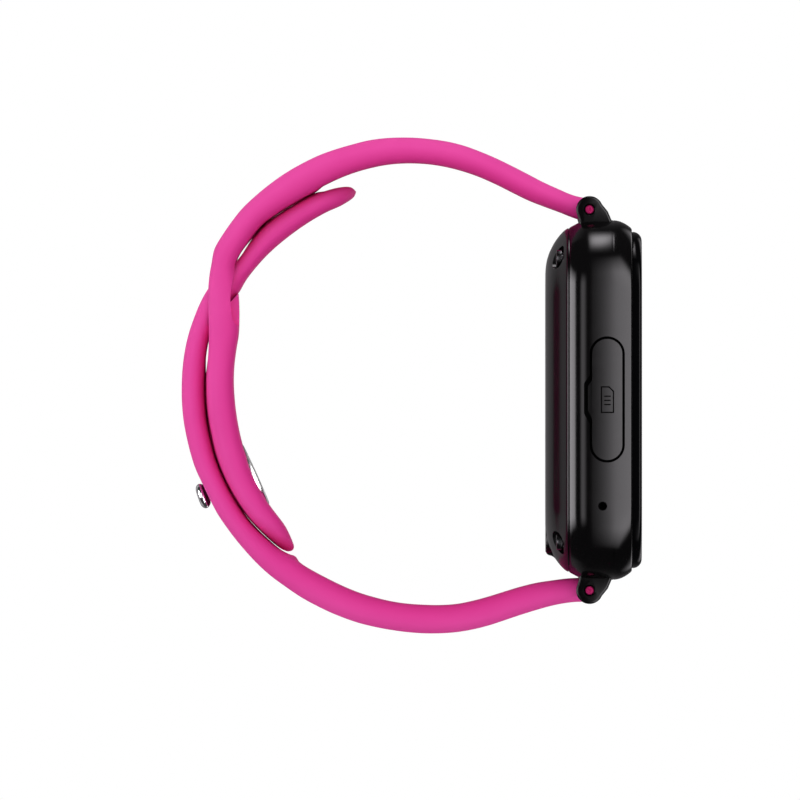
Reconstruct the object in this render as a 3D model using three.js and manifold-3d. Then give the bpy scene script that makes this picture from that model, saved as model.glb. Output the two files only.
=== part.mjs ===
// Fitness tracker band: a rectangular smartwatch case on a closed pin-and-tuck silicone band.
//
// Frame, in millimetres: the origin is the centre of the wrist opening, half way across the band.
// +X points out of the display, +Z points to the 12 o'clock lugs, and the band is 20 mm wide along Y.
// The side with the card cover and the microphone hole faces -Y, the side with the button faces +Y.
import * as THREE from 'three';
import { mergeVertices } from 'three/addons/utils/BufferGeometryUtils.js';
import Module from 'manifold-3d';

const wasm = await Module();
wasm.setup();

// ------------------------------------------------------------------ driving dimensions (mm)
const CASE_LENGTH = 48.1;        // along Z
const CASE_WIDTH = 40;           // along Y
const CASE_CORNER_R = 9.5;
const BACK_X = 20.57;            // back plane of the case
const SEAM_X = 23.66;            // back cover meets the middle frame
const FRAME_FRONT_X = 32.0;      // front edge of the middle frame
const GLASS_FRONT_X = 33.37;
const WALL = 1.8;

const LUG_X = 26.4;              // spring bar axis
const LUG_Z = 25.46;
const EAR_R = 1.8;
const EAR_T = 2.2;
const LUG_GAP = 20.4;            // between the ears, inner faces

const STRAP_W = 20;              // band width at the lugs
const TAIL_W = 15.4;             // band width at the tail
const PIN_END_W = 17;            // band width at the pin end
const SLOT_W = 16.1;             // tuck slot
const BAR_R = 0.95;              // spring bar tube
const BAR_BORE_R = 0.8;
const BAR_LEN = 19.0;
const TIP_R = 0.56;
const STRAP_BORE_R = 1.25;

const HOLE_L = 5.8;              // oval band holes, along and across the band
const HOLE_W = 4.2;
const HEAD_R = 1.7;              // stud head
const POST_R = 0.9;
const DISC_R = 4.4;              // stud base disc
const STUD_C = [-21.745, -11.625];   // middle of the stud, x and z
const STUD_U = [0.9455, 0.3256];     // stud axis, pointing into the wrist opening

const CARD_X = 28.72;            // card cover, on the -Y side
const CARD_Z = 0.07;
const CARD_W = 4.6;
const CARD_L = 16.75;
const MIC_X = 28.14;
const MIC_Z = -14.16;
const BUTTON_X = 28.4;           // power button, on the +Y side
const BUTTON_Z = 6.0;
const SCREWS = [[-14.2, 18.95], [14.2, 18.95], [-14.2, -18.95], [14.2, -18.95]];   // y, z

// ------------------------------------------------------------------ band outlines, x and z
// Upper strap: outside edge from the 12 o'clock lug round to the slot, then on to the pin end.
const UPPER_OUTER = [
  [26.4, 27.16], [25.46, 27.44], [24.66, 27.6], [23.58, 27.93], [22.51, 28.38], [20.37, 29.21],
  [18.22, 30.18], [16.08, 31.28], [13.94, 32.32], [11.79, 33.23], [9.65, 34.01], [7.5, 34.55],
  [5.36, 34.87], [3.22, 35.07], [1.07, 35.11], [-1.07, 35.01], [-3.22, 34.71], [-5.36, 34.17],
  [-7.5, 33.55], [-9.65, 32.78], [-11.79, 31.76], [-13.94, 30.55], [-16.08, 29.08], [-18.22, 27.34],
  [-20.1, 25.59], [-21.84, 23.52], [-23.05, 21.84], [-23.88, 20.1], [-24.12, 18.49], [-24.39, 16.88],
  [-24.58, 14.87], [-24.6, 13],
];
const PIN_END_OUTER = [
  [-24.55, 11.12], [-24.5, 9.25], [-24.52, 7.37], [-24.71, 4.02], [-24.74, 1.34], [-24.6, -1.34],
  [-24.2, -4.02], [-23.25, -8.04], [-21.47, -12.06], [-18.83, -16.01], [-16.21, -18.63],
  [-15.14, -19.56],
];
const PIN_END_TIP = [
  [-14.54, -20.02], [-13.9, -20.29], [-13.36, -20.18], [-13.12, -19.72],
];
const PIN_END_INNER = [
  [-13.19, -19.36], [-13.59, -18.36], [-14.34, -16.88], [-15.54, -15.28], [-16.35, -14.2],
  [-17.15, -12.93], [-18.09, -11.26], [-18.96, -9.38], [-19.56, -7.5], [-20.13, -5.63],
  [-20.56, -3.75], [-20.9, -1.74], [-21.13, 0.4], [-21.23, 2.68], [-21.13, 4.82], [-20.85, 6.97],
  [-20.56, 8.71],
];
const BRIDGE_INNER = [
  [-20.48, 10.45], [-20.48, 12.33], [-20.56, 13.94],
];
const UPPER_INNER = [
  [-20.88, 16.21], [-21.09, 17.69], [-20.73, 18.89], [-19.3, 21.24], [-17.42, 23.58], [-14.87, 25.42],
  [-12.19, 27.01], [-9.65, 28.46], [-7.5, 29.53], [-5.36, 30.39], [-3.22, 31.03], [-1.07, 31.49],
  [1.07, 31.72], [3.22, 31.74], [5.36, 31.57], [7.5, 31.2], [9.65, 30.63], [11.79, 29.88],
  [13.94, 28.92], [16.08, 27.85], [18.22, 26.8], [20.37, 25.89], [22.51, 25.08], [23.85, 24.5],
  [25.06, 24.04], [26.4, 23.76],
];

// Lower strap: outside edge from the 6 o'clock lug round to the slot, through it, and the tail.
const LOWER_OUTER = [
  [26.4, -27.16], [25.46, -27.24], [24.39, -27.22], [23.05, -27.34], [21.44, -27.6], [19.3, -28.09],
  [17.15, -28.76], [15.01, -29.48], [12.86, -30.18], [10.72, -30.71], [8.58, -31.06], [6.43, -31.21],
  [4.29, -31.21], [2.14, -31.06], [0, -30.78], [-2.14, -30.39], [-4.56, -29.79], [-6.97, -28.94],
  [-8.84, -28.14], [-11.93, -26.53], [-14.34, -24.92], [-16.48, -23.32], [-18.22, -21.71],
  [-19.7, -20.1], [-21.04, -18.49], [-22.24, -16.88], [-23.32, -15.28], [-24.35, -13.33],
  [-25.34, -11.26], [-26.33, -9.11], [-27, -6.97], [-27.52, -4.82], [-27.9, -2.68], [-28.11, -0.4],
  [-28.14, 1.88], [-28.03, 4.29], [-27.71, 6.7], [-27.18, 8.98], [-26.4, 11.26], [-25.73, 12.86],
  [-24.92, 14.41],
];
const LOWER_CROSS = [
  [-23.85, 15.88], [-22.45, 17.22],
];
const TAIL_TOP = [
  [-20.77, 18.63], [-19.16, 20.77], [-17.29, 22.99], [-14.87, 24.88], [-12.19, 26.51], [-10.59, 27.31],
  [-8.98, 27.95], [-7.5, 28.37], [-6.3, 28.54],
];
const TAIL_TIP = [
  [-5.36, 28.46], [-4.82, 27.9], [-5.03, 27.28],
];
const TAIL_BOTTOM = [
  [-5.83, 26.67], [-6.97, 26], [-8.58, 25.3], [-10.72, 24.12], [-12.73, 22.78], [-14.74, 21.24],
  [-16.62, 19.56], [-18.22, 17.82], [-19.56, 16.08], [-20.57, 14.34],
];
const LOWER_INNER_CROSS = [
  [-21.64, 13.13], [-22.71, 11.79], [-23.65, 10.25], [-24.39, 8.58],
];
const LOWER_INNER = [
  [-24.82, 6.7], [-25.07, 4.29], [-25.19, 1.88], [-25.11, -0.54], [-24.86, -2.95], [-24.36, -5.36],
  [-23.72, -7.84], [-22.85, -10.05], [-21.8, -12.19], [-20.57, -14.27], [-19.23, -16.21],
  [-17.82, -17.76], [-16.48, -19.03], [-15.28, -20.03], [-13.94, -20.8], [-12.86, -21.44],
  [-11.79, -22.22], [-10.72, -22.85], [-8.58, -23.99], [-6.43, -25.03], [-4.29, -25.89],
  [-2.14, -26.53], [0, -27.03], [2.14, -27.34], [4.29, -27.48], [6.43, -27.52], [8.58, -27.38],
  [10.72, -26.97], [12.86, -26.4], [15.01, -25.73], [17.15, -25.08], [19.3, -24.55], [21.44, -24.15],
  [23.58, -23.83], [25.06, -23.7], [26.4, -23.76],
];

// Band holes: centre x, z and the direction of the band there. The third is where the stud sits.
const BAND_HOLES = [
  [-14.23, -22.73, -0.82, 0.572], [-19.65, -17.9, -0.644, 0.765],
  [-23.24, -12.5, -0.3256, 0.9455], [-25.79, -5.73, -0.235, 0.972],
  [-26.65, 1.27, 0, 1], [-25.9, 8.27, 0.263, 0.965],
  [-18.15, 19.88, 0.659, 0.752], [-12.99, 24.34, 0.832, 0.554],
];

// Flex lines of the band, x and z, with the band's direction there.
const FLEX_UPPER = { at: [-5.36, 32.29], dir: [0.97, 0.243] };
const FLEX_LOWER = { at: [-8.31, -26.26], dir: [0.908, -0.419] };
const FLEX_PIN = { at: [-22.75, 6.9] };

// ------------------------------------------------------------------ solids
function solid(geometry) {
  const g = geometry.clone();
  g.deleteAttribute('normal');
  g.deleteAttribute('uv');
  const m = mergeVertices(g, 1e-4);
  return new wasm.Manifold(new wasm.Mesh({
    numProp: 3,
    vertProperties: new Float32Array(m.attributes.position.array),
    triVerts: new Uint32Array(m.index.array),
  }));
}

function geometryOf(manifold) {
  const mesh = manifold.getMesh();
  const n = mesh.numProp;
  const count = mesh.vertProperties.length / n;
  const position = new Float32Array(count * 3);
  for (let i = 0; i < count; i++) {
    for (let k = 0; k < 3; k++) position[3 * i + k] = mesh.vertProperties[n * i + k];
  }
  const g = new THREE.BufferGeometry();
  g.setAttribute('position', new THREE.BufferAttribute(position, 3));
  g.setIndex(new THREE.BufferAttribute(new Uint32Array(mesh.triVerts), 1));
  g.computeVertexNormals();
  return g;
}

// A side outline in x and z, extruded across the band or case from y0 to y1.
function alongY(shape, y0, y1, bevel = 0, segments = 2, bevelDepth = bevel) {
  const g = new THREE.ExtrudeGeometry(shape, {
    depth: y1 - y0 - 2 * (bevel ? bevelDepth : 0), steps: 1, curveSegments: 6,
    bevelEnabled: bevel > 0, bevelSize: bevel, bevelThickness: bevelDepth,
    bevelOffset: -bevel, bevelSegments: segments,
  });
  g.rotateX(Math.PI / 2);
  g.translate(0, y1 - (bevel ? bevelDepth : 0), 0);
  return g;
}

// An outline in y and z, extruded from x0 to x1.
const AXES_YZ = new THREE.Matrix4().makeBasis(
  new THREE.Vector3(0, 1, 0), new THREE.Vector3(0, 0, 1), new THREE.Vector3(1, 0, 0));
function alongX(shape, x0, x1, bevel = 0, segments = 3, bevelDepth = bevel, curve = 6) {
  const g = new THREE.ExtrudeGeometry(shape, {
    depth: x1 - x0 - 2 * (bevel ? bevelDepth : 0), steps: 1, curveSegments: curve,
    bevelEnabled: bevel > 0, bevelSize: bevel, bevelThickness: bevelDepth,
    bevelOffset: -bevel, bevelSegments: segments,
  });
  g.applyMatrix4(AXES_YZ);
  g.translate(x0 + (bevel ? bevelDepth : 0), 0, 0);
  return g;
}

function roundRect(w, h, r, cx = 0, cy = 0) {
  const s = new THREE.Shape();
  const x = cx - w / 2;
  const y = cy - h / 2;
  s.moveTo(x + r, y);
  s.lineTo(x + w - r, y);
  s.absarc(x + w - r, y + r, r, -Math.PI / 2, 0, false);
  s.lineTo(x + w, y + h - r);
  s.absarc(x + w - r, y + h - r, r, 0, Math.PI / 2, false);
  s.lineTo(x + r, y + h);
  s.absarc(x + r, y + h - r, r, Math.PI / 2, Math.PI, false);
  s.lineTo(x, y + r);
  s.absarc(x + r, y + r, r, Math.PI, Math.PI * 1.5, false);
  return s;
}

function polygon(points) {
  return new THREE.Shape(points.map(([x, z]) => new THREE.Vector2(x, z)));
}

function box(x0, x1, y0, y1, z0, z1) {
  const g = new THREE.BoxGeometry(x1 - x0, y1 - y0, z1 - z0);
  g.translate((x0 + x1) / 2, (y0 + y1) / 2, (z0 + z1) / 2);
  return g;
}

function cylY(x, z, r, y0, y1, sides = 20) {
  const g = new THREE.CylinderGeometry(r, r, y1 - y0, sides);
  g.translate(x, (y0 + y1) / 2, z);
  return g;
}

function cylX(y, z, r, x0, x1, sides = 20) {
  const g = new THREE.CylinderGeometry(r, r, x1 - x0, sides);
  g.rotateZ(-Math.PI / 2);
  g.translate((x0 + x1) / 2, y, z);
  return g;
}

// A turned piece whose axis is moved onto the stud axis; the profile is radius and distance.
function onStud(points, sides = 28) {
  const g = new THREE.LatheGeometry(points.map(([r, h]) => new THREE.Vector2(r, h)), sides);
  const u = new THREE.Vector3(STUD_U[0], 0, STUD_U[1]).normalize();
  g.applyQuaternion(new THREE.Quaternion().setFromUnitVectors(new THREE.Vector3(0, 1, 0), u));
  g.translate(STUD_C[0], 0, STUD_C[1]);
  return g;
}

function smooth(t) {
  const c = Math.min(1, Math.max(0, t));
  return c * c * (3 - 2 * c);
}

// Narrows a band solid: each point's y is multiplied by a width factor taken from its x and z.
function taper(g, factor) {
  const p = g.attributes.position;
  for (let i = 0; i < p.count; i++) {
    p.setY(i, p.getY(i) * factor(p.getX(i), p.getZ(i)));
  }
  return g;
}

// Angle of a point round the wrist opening in degrees, measured from the display.
function around(x, z, sense) {
  const a = Math.atan2(sense * z, x) * 180 / Math.PI;
  return a < -20 ? a + 360 : a;
}

const root = new THREE.Group();
root.name = 'fitness_tracker_band';

function material(color, roughness, metalness) {
  return new THREE.MeshStandardMaterial({ color, roughness, metalness });
}
function put(name, shape, look, parent = root) {
  const geometry = shape instanceof THREE.BufferGeometry ? shape : geometryOf(shape);
  const mesh = new THREE.Mesh(geometry, material(...look));
  mesh.name = name;
  parent.add(mesh);
  return mesh;
}
const PINK = [0xe4469b, 0.45, 0];
const BLACK = [0x0b0b0d, 0.12, 0.1];
const BLACK_SATIN = [0x141417, 0.35, 0];
const STEEL = [0xb9bcc0, 0.25, 1];
const CHROME = [0xdadcdf, 0.08, 1];
const GOLD = [0xd7a848, 0.25, 1];
const DARK_RUBBER = [0x1b1b1d, 0.7, 0];
const BOARD = [0x0f4a2c, 0.5, 0];
const PART_GREY = [0x55585c, 0.5, 0.3];

// ------------------------------------------------------------------ case: middle frame
// A tube with a rounded rim at both ends, four lug ears and a front shelf for the display.
const frameOutline = roundRect(CASE_WIDTH, CASE_LENGTH, CASE_CORNER_R);
let frame = solid(alongX(frameOutline, SEAM_X + 0.08, FRAME_FRONT_X, 1.1, 2, 1.5, 6));
const frameSkin = frame;
frame = frame.subtract(solid(alongX(
  roundRect(CASE_WIDTH - 2 * WALL, CASE_LENGTH - 2 * WALL - 0.2, CASE_CORNER_R - WALL),
  SEAM_X - 1, 30.6, 0, 1, 0, 6)));
frame = frame.subtract(solid(alongX(roundRect(33.6, 41.4, 6.5), 30, 33, 0, 1, 0, 5)));

function earShape(sign) {
  // Round at the spring bar, a straight flank towards the display, a short flank at the back.
  const s = new THREE.Shape();
  const pts = [];
  const a0 = -8;
  const a1 = 205;
  pts.push([29.9, 23.0]);
  pts.push([29.39, 23.93], [28.85, 25.2], [28.35, 26.1]);
  for (let a = 40; a <= a1; a += 15) {
    pts.push([LUG_X + EAR_R * Math.cos(a * Math.PI / 180), LUG_Z + EAR_R * Math.sin(a * Math.PI / 180)]);
  }
  pts.push([25.02, 23.6], [25.1, 22.6]);
  s.setFromPoints(pts.map(([x, z]) => new THREE.Vector2(x, sign * z)));
  return s;
}
for (const sz of [1, -1]) {
  // The case is scooped between the ears so that the strap end can turn.
  frame = frame.subtract(solid(cylY(LUG_X, sz * LUG_Z, 2.25, -LUG_GAP / 2, LUG_GAP / 2, 20)));
  const exit = [[21, 23.1], [24.4, 23.25], [26.4, 23.21], [26.4, 27], [21, 27]].map(([x, z]) => [x, sz * z]);
  frame = frame.subtract(solid(alongY(polygon(exit), -LUG_GAP / 2, LUG_GAP / 2)));
  for (const sy of [1, -1]) {
    const y0 = sy > 0 ? LUG_GAP / 2 : -LUG_GAP / 2 - EAR_T;
    let ear = solid(alongY(earShape(sz), y0, y0 + EAR_T, 0.35, 1));
    frame = frame.add(ear);
    frame = frame.subtract(solid(cylY(LUG_X, sz * LUG_Z, TIP_R + 0.28, y0 - 1, y0 + EAR_T + 1, 12)));
  }
}

// Card slot on the -Y side: a pocket for the cover and a through slot for the tray.
function cardCoverShape(grow) {
  const r = CARD_W / 2 + grow;
  const h = CARD_L / 2 - CARD_W / 2;
  const pts = [];
  for (let i = 0; i <= 10; i++) {
    const a = Math.PI * i / 10;
    pts.push([CARD_X + r * Math.cos(a), CARD_Z + h + r * Math.sin(a)]);
  }
  // The nail notch sits half way down the edge nearest the back of the case.
  const left = CARD_X - CARD_W / 2;
  const zt = 3.2 + grow;
  const zb = -3.1 - grow;
  if (grow > 0) pts.push([left - grow, zt], [25.62, 2.2], [25.62, -1.8], [left - grow, zb]);
  else pts.push([left, zt - 0.3], [26.12, 2.1], [26.12, -1.7], [left, zb + 0.3]);
  for (let i = 0; i <= 10; i++) {
    const a = Math.PI + Math.PI * i / 10;
    pts.push([CARD_X + r * Math.cos(a), CARD_Z - h + r * Math.sin(a)]);
  }
  return polygon(pts);
}
const coverPocketFloor = -CASE_WIDTH / 2 + 1.1;
frame = frame.subtract(solid(alongY(cardCoverShape(0.22), -CASE_WIDTH / 2 - 1, coverPocketFloor)));
frame = frame.subtract(solid(box(CARD_X - 1.25, CARD_X + 1.25, -19.5, -17.5, CARD_Z - 7.1, CARD_Z + 7.1)));
// Microphone hole.
frame = frame.subtract(solid(cylY(MIC_X, MIC_Z, 0.53, -21, -17.5, 16)));
// Button opening on the +Y side.
function pill(w, l, cx, cz, n = 8) {
  const pts = [];
  for (let i = 0; i <= n; i++) pts.push([cx + w / 2 * Math.cos(Math.PI * i / n), cz + (l - w) / 2 + w / 2 * Math.sin(Math.PI * i / n)]);
  for (let i = 0; i <= n; i++) pts.push([cx - w / 2 * Math.cos(Math.PI * i / n), cz - (l - w) / 2 - w / 2 * Math.sin(Math.PI * i / n)]);
  return polygon(pts);
}
frame = frame.subtract(solid(alongY(pill(2.9, 9.6, BUTTON_X, BUTTON_Z), 17.5, 21.5)));
// Speaker holes on the +Y side.
for (const k of [-1, 0, 1]) frame = frame.subtract(solid(cylY(BUTTON_X, -10 + 2.2 * k, 0.45, 17.5, 21, 12)));
// Bosses in the corners that take the back screws.
for (const [y, z] of SCREWS) {
  frame = frame.add(solid(cylX(y, z, 2.3, 24.8, 26.1, 12)).intersect(frameSkin));
  frame = frame.subtract(solid(cylX(y, z, 0.8, 24, 25.8, 8)));
}
put('mid_frame_housing', frame, BLACK);

// ------------------------------------------------------------------ case: back cover
// A shallow dome with a flat back, a hollow inside, four screw pockets and a charging island.
let back = solid(alongX(roundRect(CASE_WIDTH - 2, CASE_LENGTH - 2, CASE_CORNER_R - 1),
  BACK_X, BACK_X + 7, 5.6, 4, 3.1, 6));
back = back.subtract(solid(box(SEAM_X - 0.08, 40, -40, 40, -40, 40)));
back = back.add(solid(alongX(roundRect(13, 6.2, 1.5, 0, -17.45), BACK_X, BACK_X + 2.4, 0.25, 1, 0.25, 3)));
back = back.subtract(solid(alongX(roundRect(27, 33, 5), 21.9, 30, 0, 1, 0, 4)));
back = back.subtract(solid(alongX(roundRect(34.6, 42.6, 7.2), 23.1, 30, 0, 1, 0, 5)));
for (const [y, z] of SCREWS) {
  back = back.add(solid(cylX(y, z, 2.0, 22.4, SEAM_X - 0.1, 12)));
  back = back.subtract(solid(cylX(y, z, 1.35, 15, 22.9, 14)));
  back = back.subtract(solid(cylX(y, z, 0.75, 22, 30, 8)));
}
back = back.subtract(solid(cylX(0, 1.5, 7.3, 15, 30, 32)));
for (const y of [-2.5, 2.5]) back = back.subtract(solid(cylX(y, -17.4, 1.25, 15, 30, 16)));
put('back_cover', back, BLACK);

// Clear window of the pulse sensor, flush in the back, with a rim that seats inside the cover.
put('sensor_window', solid(cylX(0, 1.5, 7.0, BACK_X - 0.0, 21.6, 32)), [0x101014, 0.05, 0]);
SCREWS.forEach(([y, z], i) => {
  let screw = solid(cylX(y, z, 1.1, 21.9, 22.7, 14)).add(solid(cylX(y, z, 0.5, 22.6, 25.2, 8)));
  screw = screw.subtract(solid(box(21.0, 22.2, y - 0.75, y + 0.75, z - 0.14, z + 0.14)));
  screw = screw.subtract(solid(box(21.0, 22.2, y - 0.14, y + 0.14, z - 0.75, z + 0.75)));
  put(`back_screw_${i + 1}`, screw, STEEL);
});
[-2.5, 2.5].forEach((y, i) => {
  put(`charge_contact_${i + 1}`, solid(cylX(y, -17.4, 1.0, BACK_X + 0.05, 22.6, 16)), GOLD);
});

// Seal in the seam between the back cover and the middle frame.
let gasket = solid(alongX(roundRect(36.2, 44.2, 7.8), 23.75, 24.5, 0, 1, 0, 5))
  .subtract(solid(alongX(roundRect(34.8, 42.8, 7.1), 20, 30, 0, 1, 0, 5)));
put('back_gasket', gasket, DARK_RUBBER);

// ------------------------------------------------------------------ case: front
put('cover_glass', solid(alongX(roundRect(37.0, 44.96, 7.6), FRAME_FRONT_X + 0.07, GLASS_FRONT_X, 0.9, 2, 0.62, 6)), [0x050506, 0.03, 0]);
put('display_adhesive', solid(alongX(roundRect(33.0, 40.8, 6.2), 31.65, 31.95, 0, 1, 0, 4))
  .subtract(solid(alongX(roundRect(31.4, 39.2, 5.4), 31, 33, 0, 1, 0, 4))), DARK_RUBBER);
put('display_panel', alongX(roundRect(32.6, 40.4, 6), 30.2, 31.35, 0, 1, 0, 4), [0x08080a, 0.2, 0]);
put('display_bracket', solid(alongX(roundRect(33.6, 41.6, 5.5), 29.5, 29.9, 0, 1, 0, 4))
  .subtract(solid(alongX(roundRect(14, 6, 1, 4, 12), 29, 30.2, 0, 1, 0, 2))), STEEL);

// ------------------------------------------------------------------ case: inside
put('main_board', alongX(roundRect(31, 39, 3.5), 26.2, 27.0, 0, 1, 0, 3), BOARD);
put('shield_can', solid(box(27.3, 28.9, 2, 13.5, -4, 12.5)), STEEL);
put('battery', box(23.95, 25.9, -12.5, 11.5, -13, 14), [0x2b3036, 0.6, 0.2]);
put('sensor_board', alongX(roundRect(12, 12, 2, 0, 1.5), 22.0, 22.8, 0, 1, 0, 3), BOARD);
put('optical_barrier', solid(cylX(0, 1.5, 1.6, 21.65, 21.95, 16)), DARK_RUBBER);
put('vibration_motor', cylX(7.5, -15.5, 3.4, 27.3, 29.2, 20), STEEL);
put('speaker', box(27.3, 29.2, 9.5, 15.8, -15.5 + 4.6, -5.2), PART_GREY);
put('microphone', box(27.3, 28.9, -17.6, -14.6, MIC_Z - 1.5, MIC_Z + 1.5), GOLD);
put('sim_socket', solid(box(27.25, 29.3, -16.5, -2.3, -8.0, 8.1))
  .subtract(solid(box(27.75, 29.35, -20, -3.2, -7.3, 7.4))), STEEL);
put('antenna_strip', box(26.3, 28.6, -10, 12, 21.6, 21.9), GOLD);
put('button_switch', box(27.3, 29.2, 14.6, 17.0, 4.0, 8.0), PART_GREY);

// ------------------------------------------------------------------ card cover, tray, card, seal
const card = new THREE.Group();
card.name = 'card_tray';
root.add(card);
let cover = solid(alongY(cardCoverShape(0), -CASE_WIDTH / 2 - 1, coverPocketFloor - 0.25)).intersect(frameSkin);
cover = cover.subtract(solid(box(25, 26.75, -21, -19.45, -2.2, 2.3)));
put('sim_cover', cover, BLACK_SATIN, card);
put('sim_seal', solid(alongY(pill(2.2, 14.0, CARD_X, CARD_Z, 6), -18.5, -17.9))
  .subtract(solid(alongY(pill(1.4, 12.9, CARD_X, CARD_Z, 6), -19, -17))), DARK_RUBBER, card);
put('sim_tray', solid(box(28.2, 29.1, -17.6, -4.2, -6.9, 7.0))
  .subtract(solid(box(28.55, 29.5, -17.0, -8.0, -6.2, 6.3))), BLACK_SATIN, card);
put('nano_sim', box(28.65, 29.1, -16.8, -8.3, -6.05, 6.15), GOLD, card);

// ------------------------------------------------------------------ button
const button = new THREE.Group();
button.name = 'button';
root.add(button);
put('power_button', solid(alongY(pill(2.3, 9.0, BUTTON_X, BUTTON_Z), 18.3, 20.8, 0.3, 2)), BLACK, button);
put('button_stem', cylY(BUTTON_X, BUTTON_Z, 0.6, 17.65, 18.2, 12), STEEL, button);

// ------------------------------------------------------------------ spring bars
for (const [label, sz] of [['top', 1], ['bottom', -1]]) {
  const tube = solid(cylY(LUG_X, sz * LUG_Z, BAR_R, -BAR_LEN / 2, BAR_LEN / 2, 20))
    .subtract(solid(cylY(LUG_X, sz * LUG_Z, BAR_BORE_R, -BAR_LEN, BAR_LEN, 16)));
  put(`spring_bar_${label}`, tube, STEEL);
  put(`spring_coil_${label}`, solid(cylY(LUG_X, sz * LUG_Z, 0.45, -4.5, 4.5, 10)), STEEL);
  for (const [side, sy] of [['a', -1], ['b', 1]]) {
    const y0 = sy > 0 ? 6.2 : -12.2;
    put(`bar_tip_${label}_${side}`, cylY(LUG_X, sz * LUG_Z, TIP_R, y0, y0 + 6.0, 14), [0xb3246f, 0.4, 0.3]);
  }
}

// ------------------------------------------------------------------ band
function barrelEnd(sz) {
  // Round end of a strap about the spring bar, from the outside edge to the inside edge.
  const pts = [];
  for (let a = 75; a >= -75; a -= 15) {
    pts.push([LUG_X + 1.7 * Math.cos(a * Math.PI / 180), sz * LUG_Z + sz * 1.7 * Math.sin(a * Math.PI / 180)]);
  }
  return pts;
}
const upperOutline = [
  ...[...UPPER_OUTER].reverse(), ...barrelEnd(1), ...[...UPPER_INNER].reverse(),
  ...[...BRIDGE_INNER].reverse(), ...[...PIN_END_INNER].reverse(),
  ...[...PIN_END_TIP].reverse(), ...[...PIN_END_OUTER].reverse(),
];
const lowerOutline = [
  ...LOWER_OUTER, ...LOWER_CROSS, ...TAIL_TOP, ...TAIL_TIP, ...TAIL_BOTTOM,
  ...LOWER_INNER_CROSS, ...LOWER_INNER, ...barrelEnd(-1).reverse(),
];

function upperWidth(x, z) {
  const a = around(x, z, 1);
  let f = 1 - (1 - PIN_END_W / STRAP_W) * smooth((a - 170) / 40);
  if (a > 200) {
    const d = (z + 20.3) / 6;          // round end in plan
    if (d < 1) f *= Math.sqrt(Math.max(0.2, 1 - (1 - Math.max(0, d)) ** 2));
  }
  return f;
}
function lowerWidth(x, z) {
  const a = around(x, z, -1);
  let f = 1 - (1 - TAIL_W / STRAP_W) * smooth((a - 75) / 70);
  if (a > 205 && x > -11.5) {
    const d = (x + 11.5) / 6.7;        // round end in plan
    f *= Math.sqrt(Math.max(0.2, 1 - d * d));
  }
  return f;
}

const EDGE = 0.5;
let upper = solid(taper(alongY(polygon(upperOutline), -STRAP_W / 2, STRAP_W / 2, EDGE, 2, 1.2), upperWidth));
let lower = solid(taper(alongY(polygon(lowerOutline), -STRAP_W / 2, STRAP_W / 2, EDGE, 2, 1.2), lowerWidth));

// Tuck slot: the lower strap's own side shape, with clearance, cut through the upper strap.
function offset(points, d) {
  return points.map((p, i) => {
    const a = points[Math.max(0, i - 1)];
    const b = points[Math.min(points.length - 1, i + 1)];
    const l = Math.hypot(b[0] - a[0], b[1] - a[1]);
    return [p[0] - d * (b[1] - a[1]) / l, p[1] + d * (b[0] - a[0]) / l];
  });
}
const outsideRun = [...LOWER_OUTER.slice(-5), ...LOWER_CROSS, ...TAIL_TOP.slice(0, 4)];
const insideRun = [...TAIL_BOTTOM.slice(5), ...LOWER_INNER_CROSS, ...LOWER_INNER.slice(0, 2)];
const slotShape = polygon([...offset(outsideRun, 0.36), ...offset(insideRun, 0.36)]);
upper = upper.subtract(solid(alongY(slotShape, -SLOT_W / 2, SLOT_W / 2)));
// The rails beside the slot are thinner than the bridge below it.
for (const y of [-13, SLOT_W / 2 + 0.0]) {
  const rail = polygon([[-21.6, 13.9], [-21.35, 11.6], [-21.25, 10.1], [-19, 9.9], [-19, 16.8], [-21.3, 16.8]]);
  upper = upper.subtract(solid(alongY(rail, y, y + 13 - SLOT_W / 2)));
}

// Spring bar bores.
upper = upper.subtract(solid(cylY(LUG_X, LUG_Z, STRAP_BORE_R, -15, 15, 20)));
lower = lower.subtract(solid(cylY(LUG_X, -LUG_Z, STRAP_BORE_R, -15, 15, 20)));

// Oval holes down the middle of the lower strap.
for (const [x, z, dx, dz] of BAND_HOLES) {
  const g = new THREE.ExtrudeGeometry(pill(HOLE_W, HOLE_L, 0, 0, 7), { depth: 8, bevelEnabled: false });
  g.translate(0, 0, -4);
  // local x runs across the band, local y along it, local z through it
  const m = new THREE.Matrix4().makeBasis(
    new THREE.Vector3(0, 1, 0), new THREE.Vector3(dx, 0, dz), new THREE.Vector3(dz, 0, -dx));
  g.applyMatrix4(m);
  g.translate(x, 0, z);
  lower = lower.subtract(solid(g));
}

// Stud seat in the pin end: a through hole for the post and a shallow recess for the disc.
const seat = onStud([[0, -3], [POST_R + 0.3, -3], [POST_R + 0.3, 2.62], [DISC_R + 0.3, 2.62], [DISC_R + 0.3, 6], [0, 6]], 24);
upper = upper.subtract(solid(seat));

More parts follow.
